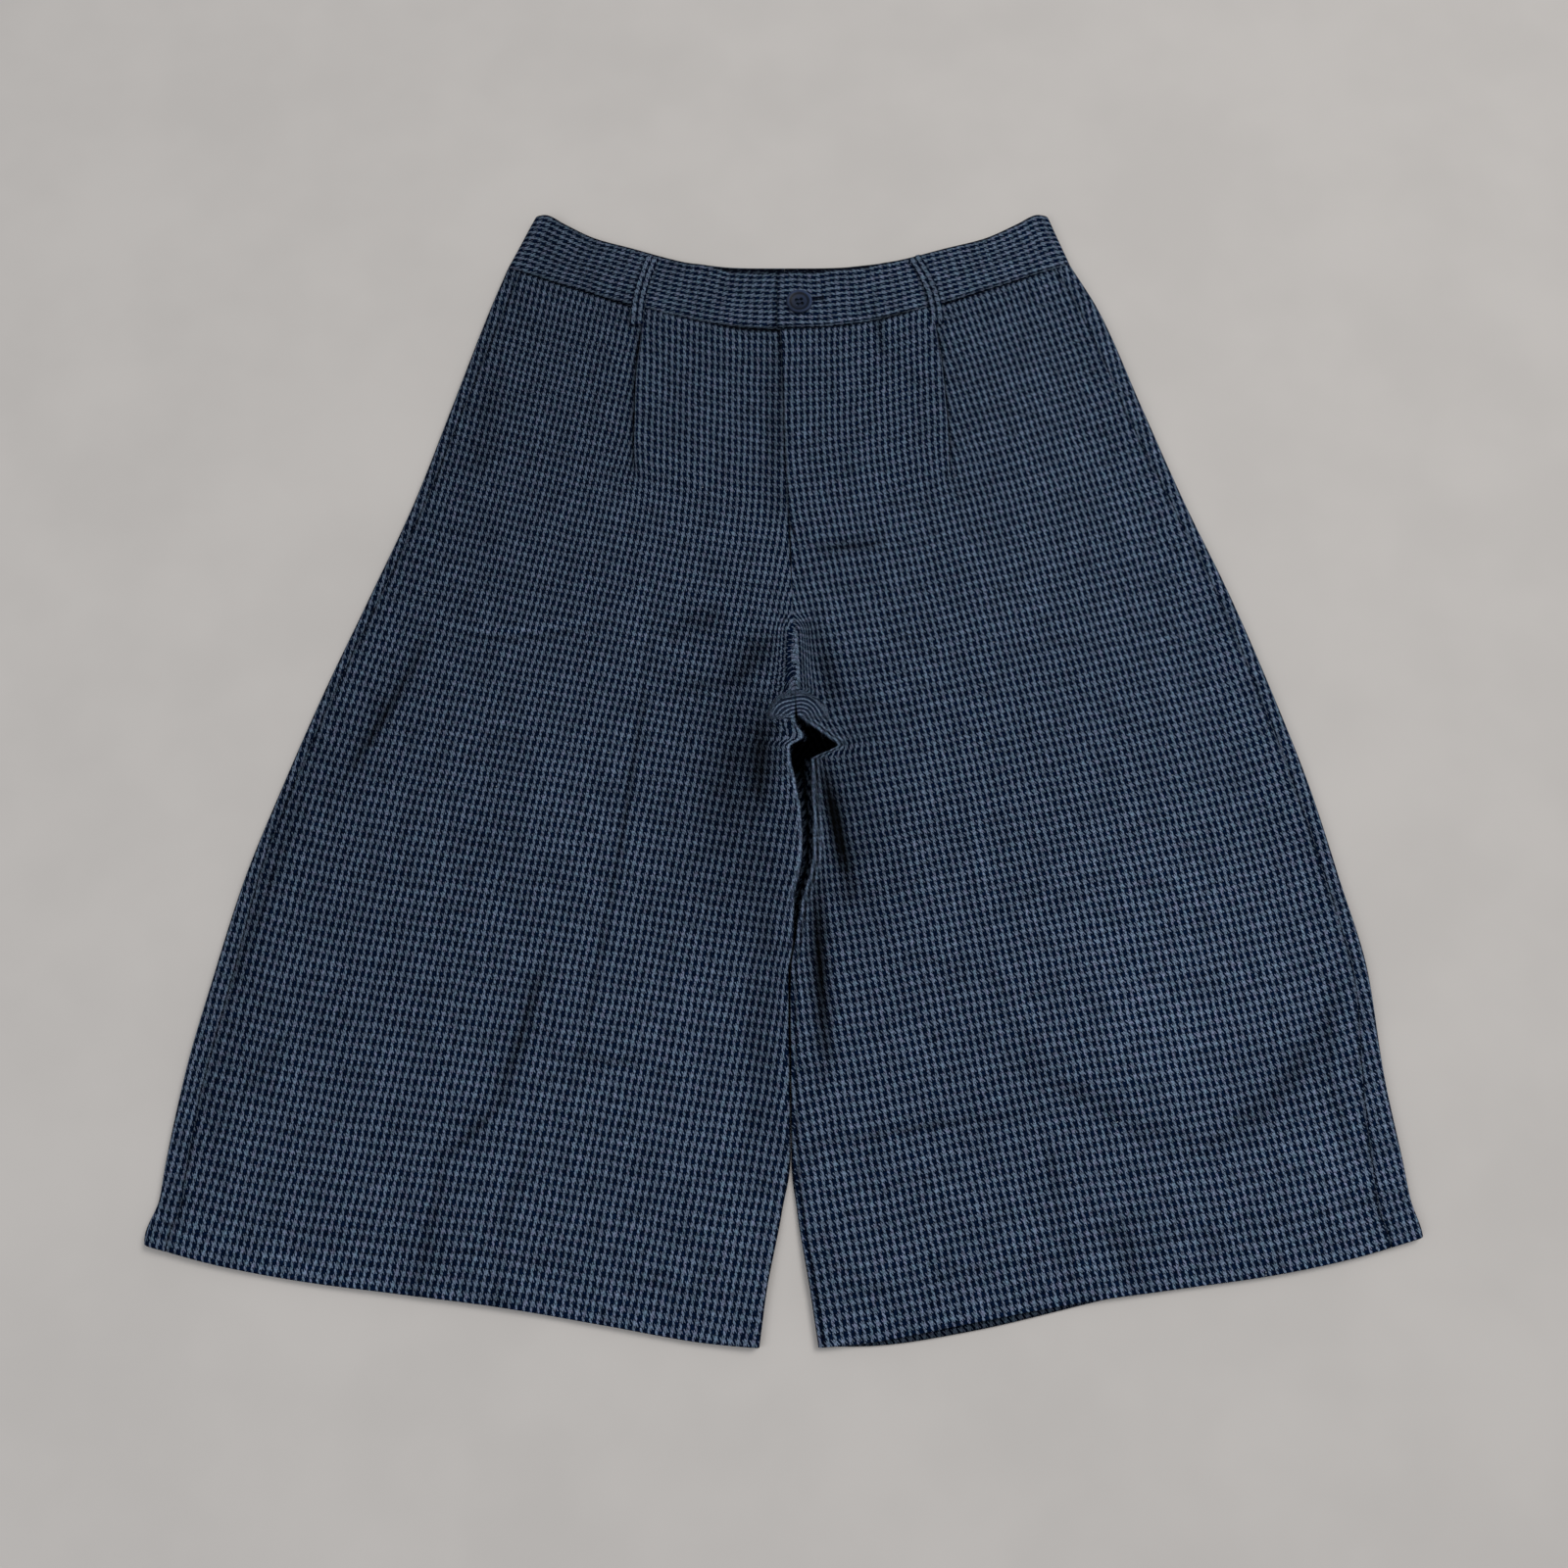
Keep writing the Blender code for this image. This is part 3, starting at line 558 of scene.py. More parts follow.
@dataclass(frozen=True)
class Grain:
    """The weave's repeat, and how the cloth's grain turns on each leg.

    The grain of a place is (repeats across the columns, repeats along them).
    """

    across: float = 4.17
    across_spread: float = 0.26
    spread_top: float = 220.0
    spread_reach: float = 320.0
    along: float = 6.35
    along_stretch: float = 0.054
    stretch_top: float = -80.0
    stretch_reach: float = 180.0
    turn_right: float = 10.4
    turn_left: float = 9.6
    start_right: float = 92.0
    start_left: float = 128.0
    turn_reach: float = 98.0

    def slope(self, hand: Hand) -> float:
        """Sideways run of the columns for each millimetre down the leg."""
        return math.tan(math.radians(self.turn_right if hand is Hand.RIGHT else self.turn_left))

    def start(self, hand: Hand) -> float:
        """Height below which the columns are turned all the way."""
        return self.start_right if hand is Hand.RIGHT else self.start_left

    def columns(self, across: Array, y: Array) -> Array:
        """Repeats across for a distance in millimetres, a little wider apart down the leg."""
        return across / (self.across + self.across_spread * ease((self.spread_top - y) / self.spread_reach))

    def rows(self, below: Array, centre: Array) -> Array:
        """Repeats along for a distance below the waist seam, a little further apart near the hem."""
        stretch = self.stretch_reach * ease_sum((self.stretch_top - centre) / self.stretch_reach)
        return (below - self.along_stretch * stretch) / self.along


def quads(first: Array, second: Array) -> list:
    """Faces between two grids of point numbers, each with its neighbours along the second axis."""
    corners = (first[:, :-1], second[:, :-1], second[:, 1:], first[:, 1:])
    return np.stack([corner.ravel() for corner in corners], 1).tolist()


def smooth_mesh(name: str, points: Array, faces: list) -> bpy.types.Mesh:
    """A smooth mesh in metres.

    Args:
        name: the mesh's name.
        points: its points, in the tables' millimetres.
        faces: point numbers of each face.

    Returns:
        The mesh.
    """
    mesh = bpy.data.meshes.new(name)
    placed = (points.reshape(-1, 3) - (0.0, MIDDLE_HEIGHT, 0.0)) * MM
    mesh.from_pydata(placed.tolist(), [], faces)
    mesh.shade_smooth()
    return mesh


@dataclass
class ClothGrid:
    """A surface on a grid, with what its material reads.

    `points` is in millimetres, `u` and `v` count repeats of the weave across and along, `shade` is
    painted shade and light that multiplies the brightness, and `lip` says how much of the light yarn
    shows along the rolled edge, partly a painted highlight.
    """

    points: Array
    u: Array
    v: Array
    shade: Array
    lip: Array | float = 0.0

    def mesh(self, name: str, closed: bool) -> bpy.types.Mesh:
        """Makes the mesh: a quad between each four neighbours, with UV map and attributes.

        Args:
            name: the mesh's name.
            closed: whether the last row joins the first, and both end columns are capped.

        Returns:
            The mesh, in metres in the part's frame.
        """
        shape = self.points.shape[:2]
        index = np.arange(shape[0] * shape[1]).reshape(shape)
        if closed:
            faces = quads(index, np.roll(index, -1, axis=0))
            faces += [index[:, 0].tolist(), index[::-1, -1].tolist()]
        else:
            faces = quads(index[:-1], index[1:])
        mesh = smooth_mesh(name, self.points, faces)
        corner_points = np.empty(len(mesh.loops), dtype=np.int32)
        mesh.loops.foreach_get("vertex_index", corner_points)
        uv = layers(self.u, self.v).reshape(-1, 2)[corner_points]
        mesh.uv_layers.new(name="Grain").data.foreach_set("uv", uv.astype(np.float32).ravel())
        for label, values in (("shade", self.shade), ("lip", self.lip)):
            attribute = mesh.attributes.new(label, "FLOAT", "POINT")
            spread = np.broadcast_to(values, shape)
            attribute.data.foreach_set("value", spread.astype(np.float32).ravel())
        return mesh


def place_mesh(name: str, mesh: bpy.types.Mesh, material: Material) -> Piece:
    """Puts a mesh into the scene at the origin, riding on the one body.

    Args:
        name: the piece's name.
        mesh: its mesh.
        material: its finish.

    Returns:
        The piece.
    """
    mesh.materials.append(material)
    piece = bpy.data.objects.new(name, mesh)
    bpy.context.scene.collection.objects.link(piece)
    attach(piece, "root")
    return piece


def stand_in(name: str, node: str, grid: ClothGrid, material: Material,
             wall: float = 0.0) -> Piece:
    """Makes a surface the piece that stands for a solid.

    Args:
        name: the piece's name.
        node: the solid.
        grid: the surface, closed on itself unless it gets a wall.
        material: its finish.
        wall: thickness given to an open surface, evenly to both sides.

    Returns:
        The piece.
    """
    piece = place_mesh(name, grid.mesh(name, closed=not wall), material)
    if wall:
        modifier = piece.modifiers.new("Cloth wall", "SOLIDIFY")
        modifier.thickness = wall * MM
        modifier.offset = 0.0
        modifier.use_even_offset = True
    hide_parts(node)
    return piece


@dataclass(frozen=True)
class LaidForm:
    """Outline and resting heights that all the panels share, as in the solids."""

    cloth: float = 1.2
    wall: float = 1.15
    gap: float = 0.3
    back_level: float = 0.6
    leg_level: float = 3.0
    waist_lift: float = 0.6
    waist_reach: float = 50.0
    hem_lift: float = 2.2
    hem_lift_start: float = 78.0
    hem_lift_end: float = 38.0
    side_radius: float = 3.0
    side_reach: float = 38.0
    seam_dip: float = 0.55
    seam_dip_reach: float = 2.6
    waist_centre: float = 284.8
    hem_centre: float = -377.0
    hem_depth: float = 28.0
    hem_radius: float = 0.75
    hem_steps: int = 12
    bend_steps: int = 8

    @property
    def hem_edge(self) -> float:
        """How far the hem's fold stands out below its last row."""
        return self.hem_radius + self.cloth / 2

    def inner_x(self, column: str, centre: Array | float) -> Array:
        """A column of the table of inner edges, at a height on the centre line."""
        return curve(INNERS, "height", column, centre)

    def outline_x(self, hand: Hand, height: Array) -> Array:
        """Distance from the middle to the outer fold at a height, signed."""
        return hand.value * curve(OUTERS, "height", hand.label, height)

    def seam_x(self, hand: Hand, height: Array) -> Array:
        """Where the side seam shows at a height, signed."""
        inset = curve(OUTERS, "height", "inset_" + hand.label, height)
        return self.outline_x(hand, height) - hand.value * inset

    def side_height(self, hand: Hand, centre: Array) -> Array:
        """Height at the outer fold of the row that crosses the centre line at a height."""
        return centre + curve(CLIMBS, "height", hand.label, centre)

    def row_y(self, hand: Hand, centre: Array, x: Array) -> Array:
        """Height of a row's points: its share of the climb from the centre line to the outer fold.

        Args:
            hand: the side.
            centre: height of each row on the centre line.
            x: places along the rows.

        Returns:
            The heights.
        """
        middle = self.inner_x("middle", centre)
        outer = self.outline_x(hand, self.side_height(hand, centre))
        across = np.clip((x - middle) / (outer - middle), 0.0, 1.0)
        down = ease((self.waist_centre - centre) / (self.waist_centre - self.hem_centre))
        shape = (1.0 - down) * curve(ROW_SHAPES, "across", "first", across)
        shape = shape + down * curve(ROW_SHAPES, "across", "second", across)
        return centre + (self.side_height(hand, centre) - centre) * shape

    def hem_share(self, centre: Array) -> Array:
        """0 in the leg, 1 over the turned hem, and a smooth rise between."""
        to_hem = centre - self.hem_centre
        return ease((self.hem_lift_start - to_hem) / (self.hem_lift_start - self.hem_lift_end))

    def base_level(self, centre: Array) -> Array:
        """Resting height of the front layer: raised by the waistband and by the turned hem."""
        waist = self.waist_lift * fading(self.waist_centre - centre, self.waist_reach)
        return self.leg_level + waist + self.hem_lift * self.hem_share(centre)

    def upper_level(self, hand: Hand, centre: Array, x: Array) -> Array:
        """Level of the upper layer, which stands as high as the outer fold is round beside it.

        Args:
            hand: the side.
            centre: height of each row on the centre line.
            x: places along the rows.

        Returns:
            The levels above the surface.
        """
        base = self.base_level(centre)
        fold = np.abs(self.outline_x(hand, self.side_height(hand, centre)))
        inward = fold - self.side_radius - self.cloth / 2 - np.abs(x)
        top = 2.0 * self.side_radius + self.back_level
        return base + (top - base) * fading(inward, self.side_reach)

    def dip(self, from_seam: Array) -> Array:
        """How far both panels sink along the side seam."""
        return self.seam_dip * fading(from_seam, self.seam_dip_reach)

    def rows(self) -> Array:
        """The panels' rows, evenly spaced in each zone and over the hem.

        Returns:
            Their heights on the centre line, as a column.
        """
        top, parts = self.waist_centre, []
        for zone in ZONES:
            parts.append(steps(top, zone.foot, zone.rows))
            top = zone.foot
        hem = np.linspace(top, self.hem_centre + self.hem_edge, self.hem_steps + 1)
        return np.concatenate(parts + [hem])[:, None]

    def hem_rows(self, values: Array, step: float = 0.0) -> Array:
        """Carries a value of the rows on round the hem.

        Args:
            values: the value down to the hem's fold.
            step: its growth for each millimetre.

        Returns:
            The value with its rows round the hem.
        """
        arc = math.pi * self.hem_radius * np.linspace(0.0, 1.0, self.bend_steps + 1)[1:]
        pitch = (self.hem_depth - self.hem_edge) / self.hem_steps
        run = np.concatenate([arc, arc[-1] + pitch * np.arange(1, self.hem_steps + 1)])
        return np.concatenate([values, values[-1] + step * run[:, None]])

    def hemmed(self, grid: ClothGrid, pitch: float) -> ClothGrid:
        """Adds the hem to a panel: a half turn at its lower edge and the doubled cloth inside.

        Args:
            grid: the panel down to its hem, whose inside is below it at the side seam.
            pitch: length of the weave's repeat along the leg.

        Returns:
            The panel with its hem.
        """
        inward = grid_normals(grid.points)
        inward = inward * np.where(inward[-1, -1, 2] > 0.0, -1.0, 1.0)
        foot = grid.points[-1]
        down = unit(foot - grid.points[-2])
        turns = np.linspace(0.0, math.pi, self.bend_steps + 1)[1:, None, None]
        bend = foot + self.hem_radius * ((1.0 - np.cos(turns)) * inward[-1] + np.sin(turns) * down)
        doubled = slice(-2, -2 - self.hem_steps, -1)
        inside = grid.points[doubled] + 2.0 * self.hem_radius * inward[doubled]
        points = np.concatenate([grid.points, bend, inside])
        u, shade, lip = (self.hem_rows(values) for values in (grid.u, grid.shade, grid.lip))
        return ClothGrid(points, u, self.hem_rows(grid.v, 1.0 / pitch), shade, lip)


@dataclass
class Sections:
    """A front's sections, one for each row, with what is known of each point.

    `distance` runs from the inner edge, `edge` is the pleat's visible fold on it, and `jump` is 0 in
    the centre portion and 1 in the side portion.  `centre` is the row's height on the centre line.
    `curl`, `opened` and `spread` say how far the inner edge curls, how far the pleat has opened and
    how far the points have spread out evenly.
    """

    x: Array
    y: Array
    z: Array
    distance: Array
    edge: Array
    jump: Array
    centre: Array
    below: Array
    from_seam: Array
    curl: Array
    opened: Array
    spread: Array


@dataclass(frozen=True)
class PleatForm:
    """The pleat of a front, as in the solids."""

    depth: float = 15.0
    min_depth: float = 0.8
    closed: float = 88.0
    open: float = 136.0
    level: float = 2.5
    level_start: float = 60.0
    level_reach: float = 60.0
    side_reach: float = 36.0
    climb_share: float = 0.4
    spread_start: float = 108.0
    spread_reach: float = 80.0

    def bends(self, form: LaidForm, edge: Array, below: Array, opened: Array) -> tuple[Array, Array, Array]:
        """The two bends, each an arc of constant length, with the hidden middle layer between.

        Args:
            form: the garment's form.
            edge: distance of the visible fold from the inner edge.
            below: distance of each row below the waist seam.
            opened: how far the pleat has opened.

        Returns:
            Where the first bend starts, and the bends' distances and drops.
        """
        angle = np.maximum(math.pi * (1.0 - opened), MIN_TURN)
        depth = np.maximum(self.depth * (1.0 - below / self.closed), self.min_depth)
        share = np.linspace(0.0, 1.0, form.bend_steps + 1)
        radius = math.pi * (form.cloth + form.gap) / 2 / angle
        reach = radius * np.where(angle > math.pi / 2, 1.0, np.sin(angle))
        start = edge - form.cloth / 2 - reach
        first_x = start + radius * np.sin(angle * share)
        first_drop = radius * (1.0 - np.cos(angle * share))
        under_x = first_x[:, -1:] + depth * np.cos(angle)
        under_drop = first_drop[:, -1:] + depth * np.sin(angle)
        back = angle * share[::-1]
        second_x = under_x + radius * (np.sin(angle) - np.sin(back))
        second_drop = under_drop + radius * (np.cos(back) - np.cos(angle))
        return start, np.hstack([first_x, second_x]), np.hstack([first_drop, second_drop])


@dataclass(frozen=True)
class FrontLight:
    """Lines of shade and light on a front, and where they lie."""

    crease_light: float = 0.10
    crease_range: tuple = (-1.6, 1.0)
    hem: Line = Line(0.22, 1.7)
    pleat_right: Line = Line(0.92, 4.5)
    pleat_left: Line = Line(0.85, 3.0)
    pleat_start: float = 8.0
    pleat_reach: float = 16.0
    fly_edge: Line = Line(0.45, 0.9)
    fly_place: float = 0.5
    fly_under: Line = Line(0.5, 2.6)
    fly_foot: float = 100.0
    fly_fade: float = 35.0
    under_lip: Line = Line(0.85, 0.7)
    under_lip_place: float = 0.6
    between_lips: Line = Line(0.7, 0.9)
    lip_place: float = 1.9
    lip_width: float = 0.8
    lip_light: float = 0.6
    lip_foot: float = -70.0
    lip_fade: float = 90.0
    second_lip: float = 5.2
    second_lip_share: float = 0.8
    apex_light: float = 0.25
    apex_lip: float = 0.2
    band_gap: float = 0.2


@dataclass(frozen=True)
class FrontGrain:
    """How the weave turns, crowds and bunches on a front.

    The inner edge's waves carry the columns along, its curl crowds them, and the rows bunch in arches
    over the top of the gap between the legs, where the cloth is folded on itself.
    """

    fan_high: float = 0.11
    fan_start: float = 120.0
    fan_reach: float = 150.0
    settle_reach: float = 46.0
    settle_narrow: float = 6.0
    settle_wide: float = 70.0
    wave_top: float = 24.0
    wave_foot: float = -160.0
    wave_limit: float = 5.0
    wave_reach: float = 14.0
    crowd: float = 5.0
    crowd_reach: float = 9.0
    crowd_span: Span = Span(120.0, 60.0, -225.0, 80.0)
    row_steep: float = 5.0
    row_reach: float = 32.0
    row_top: float = 250.0
    row_top_fade: float = 60.0
    arch: float = 36.0
    arch_reach: float = 7.5
    arch_span: Span = Span(78.0, 66.0, -70.0, 80.0)
    arch_column: float = 0.3
    fold_span: Span = Span(80.0, 16.0, 2.0, 10.0)
    apex_x: float = 8.5
    apex_y: float = 6.0
    apex_reach: float = 20.0
    apex_fade: float = 3.0
    apex_pitch: float = 2.5
    apex_stretch: float = 1.15
    apex_wave: float = 0.5
    apex_wave_length: float = 3.1

    def apex_share(self, x: Array, y: Array) -> Array:
        """1 in the small arched fold round the top of the gap between the legs, and 0 elsewhere."""
        away = np.hypot(x - self.apex_x, y - self.apex_y)
        return ease((self.apex_reach - away) / self.apex_fade) * ease((y - self.apex_y) / self.apex_fade)

    def place(self, panel: "FrontPanel", cut: Sections) -> tuple[Array, Array]:
        """The weave's place at each point.

        Columns run straight down beside the fly and turn outwards below it; the side portion is
        turned all the way.  The pleat hides the cloth between the two, and where it has opened they
        meet over a stretch that grows wider down the leg.

        Args:
            panel: the front.
            cut: its sections.

        Returns:
            Repeats across and along, for each point.
        """
        form, grain, hand = panel.form, panel.grain, panel.hand
        x, y, centre = cut.x, cut.y, cut.centre
        slope, start = grain.slope(hand), grain.start(hand)
        hidden = slope * grain.turn_reach * ease_sum((y - start) / grain.turn_reach)
        fanned = self.fan_high * self.fan_reach * ease_sum((y - self.fan_start) / self.fan_reach)
        opened = ease((cut.below - panel.pleat.closed) / self.settle_reach)
        width = self.settle_narrow + (self.settle_wide - self.settle_narrow) * opened
        settled = ease((cut.distance - cut.edge + width / 2) / width)
        weight = (1.0 - opened) * cut.jump + opened * settled
        run = slope * y - hidden * (1.0 - weight) + (fanned if hand is Hand.LEFT else 0.0) * weight

        inner = form.inner_x(hand.label, centre)
        top, foot = (form.inner_x(hand.label, height) for height in (self.wave_top, self.wave_foot))
        down = np.clip((centre - self.wave_foot) / (self.wave_top - self.wave_foot), 0.0, 1.0)
        within = (centre < self.wave_top) & (centre > self.wave_foot)
        waved = np.where(within, inner - foot - (top - foot) * down, 0.0)
        waved = self.wave_limit * np.tanh(waved / self.wave_limit)
        from_edge = np.maximum(cut.distance, 0.0)
        crowd = self.crowd * self.crowd_span.share(centre)
        across = x - waved * np.exp(-from_edge / self.wave_reach)
        across = across + hand.value * (run - crowd * np.exp(-from_edge / self.crowd_reach))

        from_middle = np.abs(x - form.inner_x("middle", centre))
        beside = bell(from_middle, self.arch_reach)
        steep = self.row_steep * ease((self.row_top - centre) / self.row_top_fade)
        steep = steep * (1.0 - np.exp(-from_middle / self.row_reach))
        arch = self.arch * beside * self.arch_span.share(centre)
        along = grain.rows(cut.below, centre) + (steep + arch) / grain.along
        folded = beside * self.fold_span.share(centre)
        columns = grain.columns(across, y) * (1.0 - folded) + self.arch_column * folded
        round_apex = self.apex_share(x, y)
        away = np.hypot((x - self.apex_x) / self.apex_stretch, y - self.apex_y)
        away = away + self.apex_wave * np.sin(x / self.apex_wave_length)
        columns = columns * (1.0 - round_apex) + away / self.apex_pitch * round_apex
        return columns, along * (1.0 - round_apex)


@dataclass(frozen=True)
class FrontPanel:
    """A front of the shorts: one pleat, curled inner leg, side seam and turned hem."""

    hand: Hand
    form: LaidForm = LaidForm()
    pleat: PleatForm = PleatForm()
    grain: Grain = Grain()
    weave: FrontGrain = FrontGrain()
    light: FrontLight = FrontLight()
    inner_roll: float = 1.1
    inner_roll_reach: float = 26.0
    curl_arc: float = 3.2
    curl_top: float = 24.0
    curl_full: float = -4.0
    curl_turn: float = 90.0
    hem_curl_turn: float = 52.0
    fly_lap: float = 25.0
    fly_slope: float = 36.0
    fly_foot: float = 128.0
    fly_fade: float = 30.0
    fly_waist_lift: float = 1.2
    fly_waist_reach: float = 34.0
    seam_close: float = 0.13
    close_span: Span = Span(118.0, 20.0, 8.0, 14.0)
    seam_fade: float = 20.0
    waist_fade: float = 14.0
    pleat_fade: float = 12.0
    waist_dip: float = 0.7
    waist_dip_reach: float = 2.4
    hem_groove: float = 0.4
    hem_line_rise: float = 1.0
    clearance: float = 0.12
    least_room: float = 0.05
    edge_crowding: float = 1.3
    centre_steps: int = 42
    side_steps: int = 60
    curl_steps: int = 7

    def fly_lift(self, x: Array, centre: Array) -> Array:
        """How far the wearer's left front is raised over the right one.

        Args:
            x: places along the rows.
            centre: height of each row on the centre line.

        Returns:
            The lift, in millimetres.
        """
        across = fading(x - self.form.inner_x("left", centre) - self.fly_lap, self.fly_slope)
        down = ease((centre - self.fly_foot + self.fly_fade) / self.fly_fade)
        waist = fading(self.form.waist_centre - centre, self.fly_waist_reach)
        rise = self.form.cloth + 2.0 * self.form.gap + self.fly_waist_lift * waist
        return rise * across * down

    def curled_edge(self, centre: Array) -> tuple[Array, Array, Array, Array]:
        """The inner edge as it curls down: an arc of constant length that turns further down the leg.

        Args:
            centre: height of each row on the centre line.

        Returns:
            How far the edge curls, where the curl ends, and its points' distances and drops.
        """
        curl = ease((self.curl_top - centre) / (self.curl_top - self.curl_full))
        full = self.curl_turn + (self.hem_curl_turn - self.curl_turn) * self.form.hem_share(centre)
        turn = np.maximum(curl * np.radians(full), MIN_TURN)
        radius = self.curl_arc / turn
        joint = radius * np.sin(turn) + curl * self.form.cloth / 2
        angles = turn * (1.0 - steps(0.0, 1.0, self.curl_steps))
        return curl, joint, joint - radius * np.sin(angles), radius * (1.0 - np.cos(angles))

    def sections(self) -> Sections:
        """Sections from the inner edge to the side seam, one for each row from waist to hem.

        A section is the curled inner edge, the centre portion, the pleat's two bends and the side
        portion, as distances from the inner edge, and below the pleat they spread out evenly.

        Returns:
            The sections.
        """
        form, pleat, side = self.form, self.pleat, self.hand.value
        centre = form.rows()
        side_y = form.side_height(self.hand, centre)
        closer = side * self.seam_close * self.close_span.share(centre)
        inner = form.inner_x(self.hand.label, centre) - closer
        seam = form.seam_x(self.hand, side_y)
        wide = np.abs(seam - inner)
        curl, joint, curl_distance, curl_drop = self.curled_edge(centre)

        below = form.waist_centre - centre
        fold_y = centre + (side_y - centre) * pleat.climb_share
        edge = np.abs(side * curve(PLEATS, "height", self.hand.label, fold_y) - inner)
        opened = ease((below - pleat.closed) / (pleat.open - pleat.closed))
        start, bend_distance, bend_drop = pleat.bends(form, edge, below, opened)
        share = steps(0.0, 1.0, self.centre_steps) ** self.edge_crowding
        side_share = np.linspace(0.0, 1.0, self.side_steps + 1)[1:]
        side_distance = bend_distance[:, -1:] + (wide - bend_distance[:, -1:]) * side_share
        pleated = np.hstack([joint + (start - joint) * share, bend_distance, side_distance])
        even = joint + (wide - joint) * np.linspace(0.0, 1.0, pleated.shape[1]) ** self.edge_crowding
        spread = ease((below - pleat.spread_start) / pleat.spread_reach)
        distance = (1.0 - spread) * pleated + spread * even
        x = inner + side * distance

        roll = self.inner_roll * curl * fading(distance, self.inner_roll_reach)
        level = form.upper_level(self.hand, centre, x) + roll
        levelled = ease((below - pleat.level_start) / pleat.level_reach)
        low = pleat.level + (form.base_level(centre) - pleat.level) * levelled
        high = low + bend_drop[:, -1:]
        centre_level = level[:, :self.centre_steps]
        side_rise = ease((side_distance - np.maximum(edge, bend_distance[:, -1:])) / pleat.side_reach)
        pleated_z = np.hstack([
            centre_level + (high - centre_level) * ease(share),
            high - bend_drop,
            low + (level[:, -self.side_steps:] - low) * side_rise,
        ])
        z = (1.0 - spread) * pleated_z + spread * level

        jump = np.hstack([
            np.zeros(self.curl_steps + self.centre_steps),
            np.linspace(0.0, 1.0, bend_distance.shape[1]),
            np.ones(self.side_steps),
        ])
        x = np.hstack([inner + side * curl_distance, x])
        z = np.hstack([z[:, :1] - curl_drop, z])
        if self.hand is Hand.LEFT:
            z = z + self.fly_lift(x, centre)
        y, distance = form.row_y(self.hand, centre, x), np.hstack([curl_distance, distance])
        from_seam = np.abs(seam) - np.abs(x)
        return Sections(x, y, z, distance, edge, jump, centre, below, from_seam, curl, opened, spread)

    def from_hem_line(self, cut: Sections) -> Array:
        """Distance of each row from the line that holds the hem."""
        return cut.centre - self.form.hem_centre - self.form.hem_depth - self.hem_line_rise

    def creased(self, cut: Sections, fine: Array) -> Array:
        """Lays the folds and creases on the sections, and sinks the seams.

        A crease sinks no deeper than the cloth below leaves room for.

        Args:
            cut: the sections.
            fine: height of the fine creases.

        Returns:
            The new heights.
        """
        fade = ease(cut.from_seam / self.seam_fade)
        folded = cut.jump * (1.0 - cut.spread)
        relief = fine * ease(cut.below / self.waist_fade) + ripple_field(cut.x, cut.y)
        relief = relief * fade * (1.0 - folded)
        relief = relief + fine * folded * fade * ease((cut.distance - cut.edge) / self.pleat_fade)
        flat = cut.z + crease_field(FOLDS, cut.x, cut.y) * fade
        lowest = self.form.cloth + self.clearance + self.form.wall / 2
        room = np.maximum(flat - lowest, self.least_room)
        sunk = -room * (1.0 - np.exp(np.minimum(relief, 0.0) / room))
        groove = self.hem_groove * bell(self.from_hem_line(cut), self.light.hem.width)
        waist_dip = self.waist_dip * fading(cut.below, self.waist_dip_reach)
        return flat + np.where(relief < 0.0, sunk, relief) - groove - self.form.dip(cut.from_seam) - waist_dip

    def shading(self, cut: Sections, fine: Array) -> tuple[Array, Array]:
        """Painted light and shade: the brightness gradient and the table of shades, less each line's share.

        Args:
            cut: the sections.
            fine: height of the fine creases.

        Returns:
            The painted brightness, and how much light yarn shows along the rolled edge, partly a painted
            highlight.
        """
        light, x, y, distance, curl = self.light, cut.x, cut.y, cut.distance, cut.curl
        by_fly = (1.0 - curl) * ease((cut.centre - light.fly_foot) / light.fly_fade)
        lip = bell(distance - light.lip_place, light.lip_width)
        # Painted light and shade: the brightness gradient, the table of shades, lighter ridges and darker
        # troughs of the fine creases, and painted shade along the side seam and the hem's stitching
        shade = PAINTED_GRADIENT.light(x, y) + crease_field(SHADES, x, y)
        shade = shade + light.crease_light * np.clip(fine, *light.crease_range)
        shade = shade * SIDE_SEAM_SHADE.beside(cut.from_seam) * light.hem.across(self.from_hem_line(cut))
        # Painted highlight on the second lip with painted shade between the lips, painted shadow along the
        # lapped fly edge, and on the right front under it
        if self.hand is Hand.LEFT:
            pleat_line = light.pleat_left
            lip = lip + light.second_lip_share * bell(distance - light.second_lip, light.lip_width)
            between_lips = (light.lip_place + light.second_lip) / 2
            shade = shade * light.between_lips.across(distance - between_lips, curl)
            shade = shade * light.fly_edge.beside(distance - light.fly_place, by_fly)
        else:
            pleat_line = light.pleat_right
            shade = shade * light.fly_under.beside(self.form.inner_x("left", cut.centre) - x, by_fly)
        # Painted highlight on the rolled edge and over the arched fold at the gap's top, and painted shade
        # under the curl
        lip = lip * curl * fading(light.lip_foot - cut.centre, light.lip_fade)
        round_apex = self.weave.apex_share(x, y)
        shade = shade * (1.0 + light.lip_light * lip + light.apex_light * round_apex)
        shade = shade * light.under_lip.beside(distance - light.under_lip_place, curl)
        # Painted shadow beside the pleat's fold and under the waistband
        by_pleat = cut.jump * (1.0 - cut.opened) * ease((cut.below - light.pleat_start) / light.pleat_reach)
        shade = shade * pleat_line.beside(distance - cut.edge, by_pleat)
        shade = shade * WAIST_SEAM.under(x, cut.below - light.band_gap)
        return np.maximum(shade, MIN_SHADE), np.maximum(lip * (1.0 - round_apex), light.apex_lip * round_apex)

